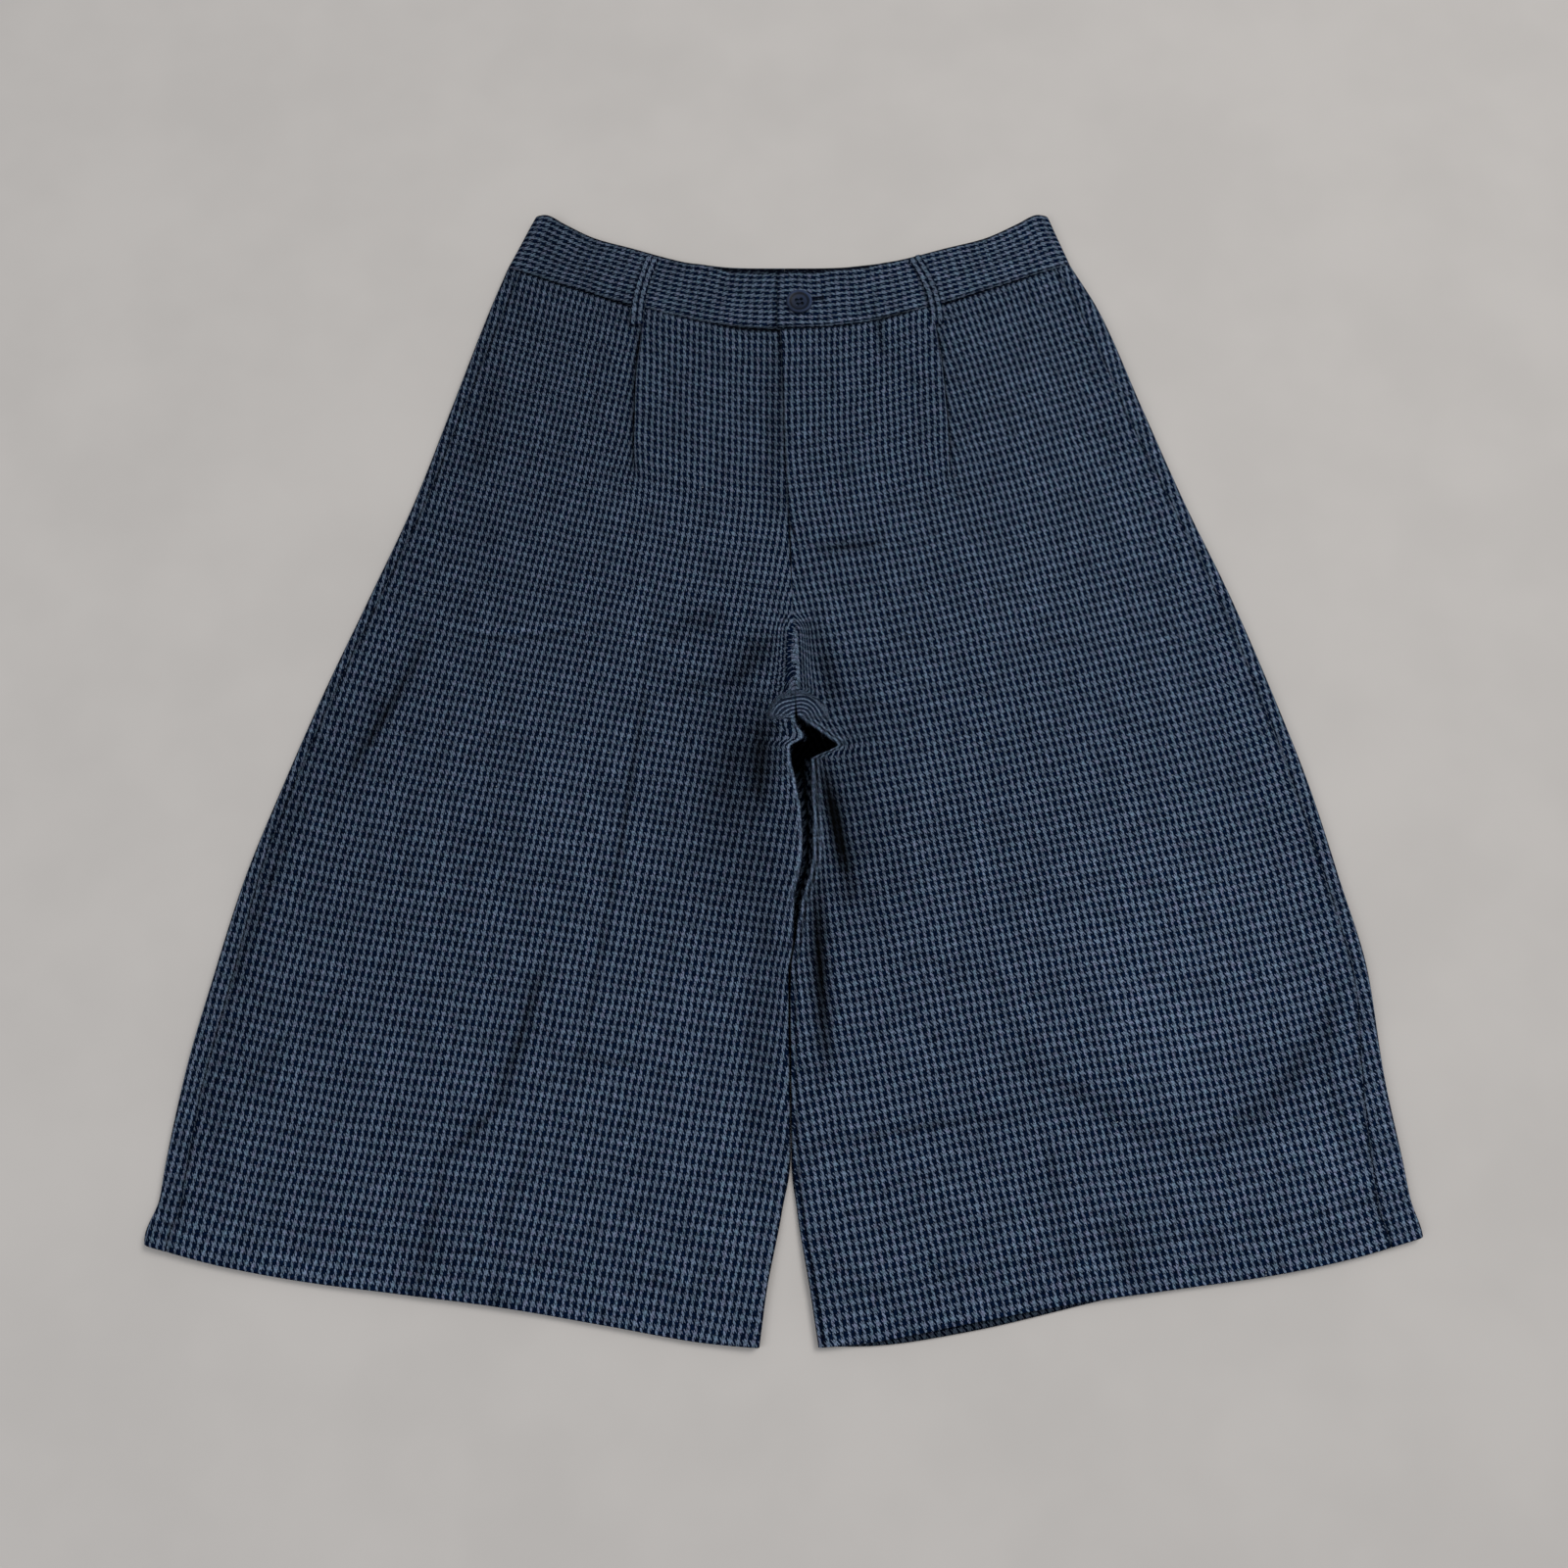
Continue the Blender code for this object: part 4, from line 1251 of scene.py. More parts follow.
    def surface(self) -> ClothGrid:
        """Creases, shades and weaves the sections, and turns up the hem.

        Returns:
            The panel's surface.
        """
        cut = self.sections()
        own = CREASES_LEFT if self.hand is Hand.LEFT else CREASES_RIGHT
        fine = crease_field(own + CREASES_CROTCH, cut.x, cut.y)
        points = layers(cut.x, cut.y, self.creased(cut, fine))
        grid = ClothGrid(points, *self.weave.place(self, cut), *self.shading(cut, fine))
        return self.form.hemmed(grid, self.grain.along)

    def build(self, material: Material) -> Piece:
        """Builds the panel's shell and lets it stand for its solid.

        Args:
            material: the cloth.

        Returns:
            The piece.
        """
        node = "front_" + self.hand.label
        piece = stand_in(node + "_cloth", node, self.surface(), material, self.form.wall)
        return piece


@dataclass(frozen=True)
class BackPanel:
    """A back of the shorts: flat on the surface, round the outer fold and up to the side seam."""

    hand: Hand
    form: LaidForm = LaidForm()
    grain: Grain = Grain()
    peek: float = 4.5
    peek_start: float = 26.0
    peek_width: float = 166.0
    peek_reach: float = 90.0
    peek_dark: float = 0.72
    peek_shade: float = 5.0
    peek_shade_start: float = 12.0
    peek_shade_reach: float = 6.0
    flat_steps: int = 34
    fold_steps: int = 12
    wrap_steps: int = 9
    middle_gap: float = 0.03
    valley_shade: float = 0.004
    valley_dark: float = 0.3
    valley_start: float = 2.0
    valley_reach: float = 6.0
    valley_span: Span = Span(26.0, 14.0, -270.0, 60.0)

    def surface(self) -> ClothGrid:
        """Sections: straight on the surface, a half circle round the outer fold, and over to the seam.

        Returns:
            The panel's surface, with its hem.
        """
        form, side = self.form, self.hand.value
        centre = form.rows()
        side_y = form.side_height(self.hand, centre)
        front = form.inner_x(self.hand.label, centre)
        inner = front + (form.inner_x("middle", centre) - front) * form.inner_x("fill", centre)
        inner = inner + side * self.middle_gap
        fold_x = form.outline_x(self.hand, side_y) - side * (form.side_radius + form.cloth / 2)
        seam = form.seam_x(self.hand, side_y) + side * form.gap
        flat_x = inner + (fold_x - inner) * steps(0.0, 1.0, self.flat_steps)
        turns = np.linspace(-math.pi / 2, math.pi / 2, self.fold_steps + 1)
        arc_x = fold_x + side * form.side_radius * np.cos(turns)
        arc_z = np.broadcast_to(form.back_level + form.side_radius * (1.0 + np.sin(turns)), arc_x.shape)
        wrap_x = fold_x + (seam - fold_x) * np.linspace(0.0, 1.0, self.wrap_steps + 1)[1:]
        wrap_z = form.upper_level(self.hand, centre, wrap_x) - form.dip(np.abs(wrap_x - seam))
        x = np.hstack([flat_x, arc_x, wrap_x])
        z = np.hstack([np.full(flat_x.shape, form.back_level), arc_z, wrap_z])
        y = form.row_y(self.hand, centre, x)
        peeking = np.zeros(x.shape)
        if self.hand is Hand.LEFT:
            peeking = np.sin(np.pi * np.clip((x - self.peek_start) / self.peek_width, 0.0, 1.0))
            y = y - self.peek * peeking * ease(1.0 - (y[:, :1] - form.hem_centre) / self.peek_reach)

        run = np.cumsum(sum(np.abs(np.diff(way, axis=1, prepend=way[:, :1])) for way in (x, z)), 1)
        across = seam + side * (run[:, -1:] - run + self.grain.slope(self.hand) * y)
        # Painted shade: near black in the valley between the legs, the painted brightness gradient, painted
        # shade by the side seam, and a painted shadow on the back hem that peeks out below the front's hem
        beside = fading(side * (x - front) - self.valley_start, self.valley_reach)
        valley = self.valley_span.share(centre) * beside
        upper = np.arange(x.shape[1]) > self.flat_steps + self.fold_steps // 2
        at_hem = ease((self.peek_shade_start - centre + form.hem_centre) / self.peek_shade_reach)
        shade = (1.0 - (1.0 - self.valley_shade) * valley) * PAINTED_GRADIENT.light(x, y)
        shade = shade * SIDE_SEAM_SHADE.beside(np.abs(x - seam), upper)
        shade = shade * (1.0 - self.peek_dark * ease(self.peek_shade * peeking) * at_hem)
        along = (form.waist_centre - centre) / self.grain.along
        grid = ClothGrid(layers(x, y, z), across / self.grain.across, along, shade, np.zeros(x.shape))
        return form.hemmed(grid, self.grain.along)

    def build(self, material: Material, shadow: Material) -> Piece:
        """Builds the panel's shell and lets it stand for its solid.

        Args:
            material: the cloth.
            shadow: the cloth between the legs, where no light reaches it.

        Returns:
            The piece.
        """
        node = "back_" + self.hand.label
        grid = self.surface()
        piece = stand_in(node + "_cloth", node, grid, material, self.form.wall)
        piece.data.materials.append(shadow)
        # Faces in the painted shade between the legs take the unlit shadow copy of the cloth
        deep = (grid.shade[:-1, :-1] < self.valley_dark).astype(np.int32)
        piece.data.polygons.foreach_set("material_index", deep.ravel())
        return piece


def rounded_wall(middle: Callable[[Array], Array], half: float, reach: float, face_steps: int,
                 edge_steps: int, end_round: float, far_round: float) -> tuple[Array, Array]:
    """A closed wall round a middle surface: two faces joined by half circles along both long edges.

    Args:
        middle: gives the middle surface's points for shares across it, as shares by stations by 3.
        half: half the wall's thickness.
        reach: the middle surface's full width.
        face_steps: steps across each face.
        edge_steps: steps round each edge.
        end_round: millimetres over which the wall thins to its rounded first end.
        far_round: the same for its last end, which is cut straight where this is 0.

    Returns:
        The wall's points as a ring by stations by 3, and each ring point's share across, as a column.
    """
    low, high = half / reach, 1.0 - half / reach
    face = low + (high - low) * (0.5 - 0.5 * np.cos(np.linspace(0.0, math.pi, face_steps + 1)))
    turn = np.linspace(0.0, math.pi, edge_steps + 1)[1:-1]
    share = np.concatenate([face, np.full(len(turn), high), face[::-1], np.full(len(turn), low)])
    out = half * np.concatenate([np.ones(len(face)), np.cos(turn), -np.ones(len(face)), -np.cos(turn)])
    up = half * np.concatenate([np.zeros(len(face)), np.sin(turn), np.zeros(len(face)), -np.sin(turn)])
    points = middle(share)
    probe = 0.01
    ahead = np.minimum(share + probe, 1.0)
    lift = unit(middle(ahead) - middle(ahead - 2.0 * probe))
    normal = unit(np.cross(np.gradient(points, axis=1), lift))
    station = run_along(points.mean(0))
    to_end = station / end_round
    if far_round:
        to_end = np.minimum(to_end, (station[-1] - station) / far_round)
    thin = np.sqrt(np.clip(1.0 - (1.0 - np.clip(to_end, 0.04, 1.0)) ** 2, 0.0, 1.0))[None, :, None]
    return points + (normal * out[:, None, None] + lift * up[:, None, None]) * thin, share[:, None]


@dataclass(frozen=True)
class Waistband:
    """Half of the waistband: from its front end, round the side fold, to the centre back."""

    hand: Hand
    form: LaidForm = LaidForm()
    thickness: float = 2.6
    top_right: float = 174.0
    top_left: float = 185.0
    radius: float = 2.2
    rise_reach: float = 30.0
    lap_end: float = 27.0
    lap_start: float = -4.6
    lap_flat: float = 29.0
    lap_slope: float = 34.0
    lap_sag: float = 2.2
    sag_start: float = 16.0
    sag_reach: float = 18.0
    back_gap: float = 0.04
    seam_gap: float = 0.4
    height: float = 47.0
    top_waves: tuple = ((0.55, 11.0, 0.6), (0.4, 4.9, 0.0))
    top_waves_end: float = 55.0
    top_waves_fade: float = 30.0
    face_wave: float = 0.35
    face_wave_length: float = 21.0
    face_wave_twist: float = 3.0
    foot_wave: float = 0.2
    foot_wave_length: float = 9.0
    foot_wave_phase: float = 1.3
    wave_start: float = 12.0
    wave_level: float = 0.9
    rough_depth: float = 0.02
    rough_long: float = 7.0
    rough_short: float = 3.1
    grain_across: float = 4.15
    grain_along: float = 6.5
    inside_shade: float = 0.32
    brightness: float = 1.07
    top_line: Line = Line(0.5, 0.02)
    top_line_share: float = 0.955
    foot_line_share: float = 0.028
    foot_line_reach: float = 0.014
    pucker: Line = Line(0.3, 2.4)
    pucker_x: float = 63.0
    pucker_top: float = 0.75
    pucker_fade: float = 0.3
    end_left: Line = Line(0.3, 1.0)
    end_left_place: float = 0.3
    end_right: Line = Line(0.5, 1.0)
    end_right_place: float = -1.0
    end_least: float = 0.3
    end_foot: float = 0.1
    end_foot_fade: float = 0.3
    end_reach: float = 60.0
    measured_station: int = 8
    first_share: float = 0.03
    first_steps: int = 6
    front_steps: int = 110
    fold_steps: int = 14
    back_steps: int = 70
    face_steps: int = 22
    edge_steps: int = 8

    @property
    def front_level(self) -> float:
        """Height of the front layer's middle."""
        return self.thickness + self.form.gap + self.thickness / 2

    def middle(self, share: Array) -> Array:
        """The band's middle surface, from the front end to the centre back.

        The front runs straight at its own level, the side is a half circle, and the back lies flat.

        Args:
            share: shares of the band's height.

        Returns:
            Points, as shares by stations by 3.
        """
        form, side = self.form, self.hand.value
        share = share[:, None]
        top_outer = self.top_right if self.hand is Hand.RIGHT else self.top_left
        seam_height = form.side_height(self.hand, form.waist_centre)
        low_outer = abs(float(form.outline_x(self.hand, seam_height)))
        start = self.lap_end if self.hand is Hand.RIGHT else self.lap_start
        middle = float(form.inner_x("middle", form.waist_centre)) + side * self.back_gap
        outer = side * (low_outer + (top_outer - low_outer) * share)
        fold_x = outer - side * (self.radius + self.thickness / 2)
        near = np.linspace(0.0, 1.0, self.first_steps) ** 2 * self.first_share
        along = np.concatenate([near[:-1], steps(self.first_share, 1.0, self.front_steps)])
        front_x = start + (fold_x - start) * along
        turns = np.linspace(math.pi / 2, -math.pi / 2, self.fold_steps + 1)
        arc_x = fold_x + side * self.radius * np.cos(turns)
        arc_z = np.broadcast_to(self.thickness / 2 + self.radius * (1.0 + np.sin(turns)), arc_x.shape)
        back_x = fold_x + (middle - fold_x) * np.linspace(0.0, 1.0, self.back_steps + 1)[1:]
        rise = fading(np.abs(fold_x) - side * front_x, self.rise_reach)
        top = 2.0 * self.radius + self.thickness / 2
        front_z = self.front_level + (top - self.front_level) * rise
        if self.hand is Hand.LEFT:
            lap = fading(front_x - self.lap_flat, self.lap_slope)
            front_z = front_z + (self.thickness + form.gap) * lap
        x = np.hstack([front_x, arc_x, back_x])
        z = np.hstack([front_z, arc_z, np.full(back_x.shape, self.thickness / 2)])

        low_y = form.row_y(self.hand, form.waist_centre, x * low_outer / np.abs(outer)) + self.seam_gap
        across = np.clip(side * x / np.abs(outer), 0.0, 1.0)
        over = np.concatenate([np.ones(front_x.shape[1]), np.linspace(1.0, 0.0, self.fold_steps + 1),
                               np.zeros(self.back_steps)])
        uneven = sum(height * np.sin(x / length + phase) for height, length, phase in self.top_waves)
        uneven = uneven * fading(np.abs(x) - self.top_waves_end, self.top_waves_fade)
        if self.hand is Hand.LEFT:
            uneven = uneven - self.lap_sag * fading(x - self.sag_start, self.sag_reach)
        front_top = curve(BAND_TOPS, "across", "first", across) + uneven
        top_y = over * front_top + (1.0 - over) * curve(BAND_TOPS, "across", "second", across)
        wave = self.face_wave * np.sin(x / self.face_wave_length + self.face_wave_twist * share)
        wave = wave * np.sin(np.pi * share)
        wave = wave + self.foot_wave * np.sin(x / self.foot_wave_length + self.foot_wave_phase)
        on_front = z > self.wave_level * self.front_level
        wave = wave * over * ease(np.abs(x - start) / self.wave_start) * on_front
        return layers(x, low_y + (top_y - low_y) * share, z + wave)

    def surface(self) -> ClothGrid:
        """The rounded wall round the middle surface, its grain turned to run along the band.

        Returns:
            The half band's surface.
        """
        points, share = rounded_wall(self.middle, self.thickness / 2, self.height, self.face_steps,
                                     self.edge_steps, end_round=1.0, far_round=0.0)
        run = run_along(self.middle(np.array([0.5]))[0])
        around = run_along(points[:, self.measured_station])[:, None]
        x, y = points[:, :, 0], points[:, :, 1]
        # Painted shade along the band's rough top edge and its waist seam, over the painted brightness
        # gradient, and across the pucker
        rough = 0.5 + 0.5 * np.sin(x / self.rough_long) * np.sin(x / self.rough_short + 1.0)
        from_top = self.top_line_share + self.top_line.width - self.rough_depth * rough - share
        shade = self.brightness * PAINTED_GRADIENT.light(x, y) * self.top_line.beside(from_top)
        foot = fading(share - self.foot_line_share, self.foot_line_reach)
        shade = shade * (1.0 - WAIST_SEAM.darkness(x) * foot)
        below_top = ease((self.pucker_top - share) / self.pucker_fade)
        shade = shade * self.pucker.across(x - self.pucker_x, below_top)

        # Painted shade beside the lapped end; the inside face is darker
        ring, near_end = np.arange(len(share))[:, None], run < self.end_reach
        past_lap = x - self.lap_start
        if self.hand is Hand.LEFT:
            inside = (ring > self.face_steps + 2) & (ring < 2 * self.face_steps + self.edge_steps)
            end = self.end_left.beside(past_lap - self.end_left_place, near_end)
        else:
            inside = ring <= self.face_steps
            low = self.end_least + (1.0 - self.end_least) * fading(share - self.end_foot, self.end_foot_fade)
            end = self.end_right.across(past_lap - self.end_right_place, near_end * low)
        shade = np.where(inside, self.inside_shade * shade, shade) * end
        return ClothGrid(points, -around / self.grain_across, self.hand.value * run / self.grain_along, shade)

    def build(self, material: Material) -> Piece:
        """Builds the half band and lets it stand for its solid.

        Args:
            material: the cloth.

        Returns:
            The piece.
        """
        node = "waistband_" + self.hand.label
        piece = stand_in(node + "_cloth", node, self.surface(), material)
        return piece


@dataclass(frozen=True)
class BeltLoop:
    """A belt loop: a narrow strip with two raised sides, bowed over the waistband."""

    hand: Hand
    x_top: float
    x_middle: float
    x_bottom: float
    y_top: float = 341.5
    y_bottom: float = 289.0
    width: float = 9.0
    half: float = 0.8
    rib: float = 0.35
    bow: float = 0.7
    foot_lift: float = 0.7
    under: float = 5.8
    tuck: float = 1.1
    tuck_share: float = 0.045
    grain_across: float = 4.3
    grain_along: float = 6.5
    brightness: float = 0.72
    middle_line: Line = Line(0.55, 0.07)
    edge_dark: float = 0.5
    edge_start: float = 0.36
    edge_reach: float = 0.08
    stations: int = 60
    face_steps: int = 14
    edge_steps: int = 6

    def middle(self, share: Array) -> Array:
        """The strip's middle surface: along a bowed line, raised in the middle, with two ribs along it.

        Args:
            share: shares of the strip's width.

        Returns:
            Points, as shares by stations by 3.
        """
        t = np.linspace(0.0, 1.0, self.stations)
        bend = 4.0 * (self.x_middle - (self.x_top + self.x_bottom) / 2) * t * (1.0 - t)
        x = self.x_top + (self.x_bottom - self.x_top) * t + bend
        y = self.y_top + (self.y_bottom - self.y_top) * t
        tuck = self.tuck * fading(np.minimum(t, 1.0 - t), self.tuck_share)
        z = self.under + self.half + self.bow * np.sin(np.pi * t) + self.foot_lift * t - tuck
        ahead = unit(np.stack([np.gradient(x), np.gradient(y)], 1))
        out = (share - 0.5)[:, None] * self.width
        ribs = self.rib * np.cos(4.0 * np.pi * (share - 0.25))[:, None] - self.rib
        return layers(x - ahead[:, 1] * out, y + ahead[:, 0] * out, z + ribs)

    def build(self, material: Material) -> Piece:
        """Builds the loop, its grain along the strip, and lets it stand for its solid.

        Args:
            material: the cloth.

        Returns:
            The piece.
        """
        points, share = rounded_wall(self.middle, self.half, self.width, self.face_steps, self.edge_steps,
                                     end_round=0.8, far_round=0.8)
        run = np.linspace(0.0, self.y_top - self.y_bottom, self.stations)
        # Painted shade: a dark line down the middle between the ribs and dark edges, and the whole loop is
        # darker
        away = np.abs(share - 0.5)
        edges = self.edge_dark * ease((away - self.edge_start) / self.edge_reach)
        shade = self.brightness * (self.middle_line.across(away) - edges)
        grid = ClothGrid(points, share * self.width / self.grain_across, run / self.grain_along, shade)
        node = "belt_loop_" + self.hand.label
        piece = stand_in(node + "_cloth", node, grid, material)
        return piece


@dataclass(frozen=True)
class Button:
    """The waist button: a turned disc with a raised rim, a dished middle and four sewing holes."""

    x: float = 10.5
    y: float = 303.8
    seat: float = 8.7
    turn: float = 12.0
    hole_radius: float = 1.1
    hole_offset: float = 1.6
    hole_depth: float = 1.5
    hole_bevel: float = 0.12
    hole_level: float = 1.2
    hole_shade: float = 0.1
    groove: Line = Line(0.75, 0.8)
    groove_radius: float = 6.1
    rim_light: float = 0.8
    rim_radius: float = 7.9
    aside_dark: float = 0.3
    shadow_side: tuple = (-0.6, -0.8)
    rings: int = 70
    spokes: int = 120
    upper_corners: int = 3
    profile: tuple = ((0.0, 1.62), (3.6, 1.66), (5.4, 1.85), (6.3, 2.3), (7.2, 2.62), (8.0, 2.66), (8.6, 2.4),
                      (8.95, 1.95), (9.0, 1.5), (8.75, 1.0), (8.2, 0.7), (5.6, 0.05), (0.0, 0.0))

    def holes(self) -> Array:
        """Middles of the four holes, from the button's own middle."""
        angles = np.radians(self.turn + 45.0 + 90.0 * np.arange(4))
        return self.hole_offset * math.sqrt(2.0) * np.stack([np.cos(angles), np.sin(angles)], 1)

    def surface(self) -> ClothGrid:
        """The profile turned about the middle, with a round pit sunk at each hole.

        Returns:
            The button's surface.
        """
        corners = np.array(self.profile)
        lengths = run_along(corners)
        at = np.linspace(0.0, lengths[-1], self.rings)
        radius = np.maximum(np.interp(at, lengths, corners[:, 0]), 0.001)[None, :]
        angle = steps(0.0, 2.0 * math.pi, self.spokes)[:, None]
        x, y = radius * np.cos(angle), radius * np.sin(angle)
        z = np.broadcast_to(np.interp(at, lengths, corners[:, 1]), x.shape).copy()
        upper = at < lengths[self.upper_corners]
        for hole in self.holes():
            away = np.hypot(x - hole[0], y - hole[1]) - self.hole_radius + self.hole_bevel
            z -= self.hole_depth * upper * fading(away, 2.0 * self.hole_bevel)
        # Painted highlight on the rim, painted shade in the groove inside it and in the holes, and painted
        # shade on the side away from the light
        rim = self.rim_light * bell(radius - self.rim_radius, self.groove.width)
        aside = (x * self.shadow_side[0] + y * self.shadow_side[1]) / self.rim_radius
        shade = (rim + self.groove.across(radius - self.groove_radius)) * (1.0 - self.aside_dark * aside)
        shade = np.maximum(shade * np.where(z < self.hole_level, self.hole_shade, 1.0), self.hole_shade)
        return ClothGrid(layers(self.x + x, self.y + y, self.seat + z), x, y, shade)

    def build(self, material: Material) -> Piece:
        """Builds the button and lets it stand for its solid."""
        return stand_in("waist_button", "button", self.surface(), material)


def stitches(name: str, starts: Array, ends: Array, radius: float, rise: float, material: Material,
             sides: int = 6, stations: int = 5) -> Piece:
    """Many stitches as one mesh: each is a tapered thread that rises in a low arc from start to end.

    Args:
        name: the piece's name.
        starts, ends: where each thread goes in and comes out, in millimetres.
        radius: the thread's radius.
        rise: how high its middle stands.
        material: its finish.
        sides, stations: how finely each thread is drawn.

    Returns:
        The piece.
    """
    t = np.linspace(0.0, 1.0, stations)[None, :, None]
    line = starts[:, None] + (ends - starts)[:, None] * t
    line = line + np.array([0.0, 0.0, rise]) * np.sin(np.pi * t)
    ahead = unit(ends - starts)
    aside = unit(np.cross(ahead, [0.0, 0.0, 1.0]))[:, None, None]
    up = unit(np.cross(aside[:, 0, 0], ahead))[:, None, None]
    angle = steps(0.0, 2.0 * math.pi, sides)[None, None, :, None]
    thick = radius * (0.55 + 0.45 * np.sin(np.pi * t))[:, :, None]
    points = line[:, :, None] + thick * (aside * np.cos(angle) + up * np.sin(angle))
    index = np.arange(points[..., 0].size).reshape(points.shape[:3])
    faces = quads(index, np.roll(index, -1, axis=2))
    faces += index[:, 0, ::-1].tolist() + index[:, -1].tolist()
    return place_mesh(name, smooth_mesh(name, points, faces), material)


@dataclass(frozen=True)
class Sewing:
    """Threads that show: buttonhole, fly bartack, the button's own thread, and stray lint."""

    button: Button
    band_top: float = 8.75
    slit_start: float = 6.0
    slit_end: float = 26.0
    slit_y: float = 304.4
    slit_slope: float = 0.17
    pitch: float = 0.55
    stitch_near: float = 0.25
    stitch_far: float = 1.55
    bar_half: float = 1.4
    bar_stitches: int = 6
    strand_gap: float = 0.22
    strand_level: float = 1.05
    tack_middle: tuple = (6.0, 136.5, 6.1)
    tack_along: tuple = (0.5, -1.0, 0.0)
    tack_long: float = 7.0
    tack_wide: float = 1.8
    tack_stitches: int = 12

    def buttonhole(self, thread: Material) -> Piece:
        """Two close rows of short stitches on both sides of the slit, and a bar at its end.

        Args:
            thread: the thread's finish.

        Returns:
            The piece.
        """
        x = np.arange(self.slit_start, self.slit_end, self.pitch)
        y = self.slit_y + self.slit_slope * (x - self.slit_start)
        level = self.band_top - 0.012 * np.maximum(x - 20.0, 0.0)
        starts, ends = [], []
        for way in (-1.0, 1.0):
            starts.append(np.stack([x, y + way * self.stitch_near, level], 1))
            ends.append(np.stack([x + 0.1, y + way * self.stitch_far, level - 0.15], 1))
        across = np.linspace(-self.bar_half, self.bar_half, self.bar_stitches)
        tip = np.stack(np.broadcast_arrays(self.slit_end, y[-1] + across, level[-1] - 0.1), 1)
        starts.append(tip)
        ends.append(tip + (1.7, 0.2, 0.0))
        return stitches("buttonhole_thread", np.concatenate(starts), np.concatenate(ends), 0.26, 0.28, thread)

    def button_thread(self, thread: Material) -> Piece:
        """Three strands between each pair of holes, sunk in the dished middle.

        Args:
            thread: the thread's finish.

        Returns:
            The piece.
        """
        holes = self.button.holes() + (self.button.x, self.button.y)
        level = self.button.seat + self.strand_level
        starts, ends = [], []
        for first, second in ((0, 1), (3, 2)):
            way = unit(holes[second] - holes[first])
            aside = np.array([-way[1], way[0]])
            for shift in (-self.strand_gap, 0.0, self.strand_gap):
                starts.append((*(holes[first] + aside * shift), level))
                ends.append((*(holes[second] + aside * shift), level))
        return stitches("button_thread", np.array(starts), np.array(ends), 0.13, 0.7, thread)

    def bartack(self, thread: Material) -> Piece:
        """Close stitches side by side across a short bar, at the foot of the fly.

        Args:
            thread: the thread's finish.

        Returns:
            The piece.
        """
        way = unit(np.array(self.tack_along))
        aside = np.array([-way[1], way[0], 0.0]) * self.tack_wide / 2
        along = np.linspace(-self.tack_long / 2, self.tack_long / 2, self.tack_stitches)[:, None]
        at = np.array(self.tack_middle) + way * along
        return stitches("fly_bartack", at - aside, at + aside + way * 0.12, 0.2, 0.3, thread)

    def lint(self, fibre: Material) -> Piece:
        """A few short pale fibres caught on the nap.

        Args:
            fibre: the lint's finish.

        Returns:
            The piece.
        """
        places = np.array([
            (-54.3, 167.6, 4.6), (18.3, 161.9, 6.3), (327.1, -228.9, 8.0), (199.6, -247.5, 6.4),
            (-251.0, -118.0, 6.2), (136.0, 58.0, 5.0), (-122.0, -292.0, 4.9), (246.0, -32.0, 6.4),
        ])
        turns = np.radians(np.array([20.0, 75.0, 96.0, 40.0, 130.0, 10.0, 60.0, 150.0]))
        reach = np.array([1.0, 0.9, 3.4, 1.3, 0.8, 1.0, 1.1, 0.9])[:, None]
        way = np.stack([np.cos(turns), np.sin(turns), np.zeros(len(turns))], 1) * reach / 2
        return stitches("lint_fibres", places - way, places + way, 0.16, 0.2, fibre)


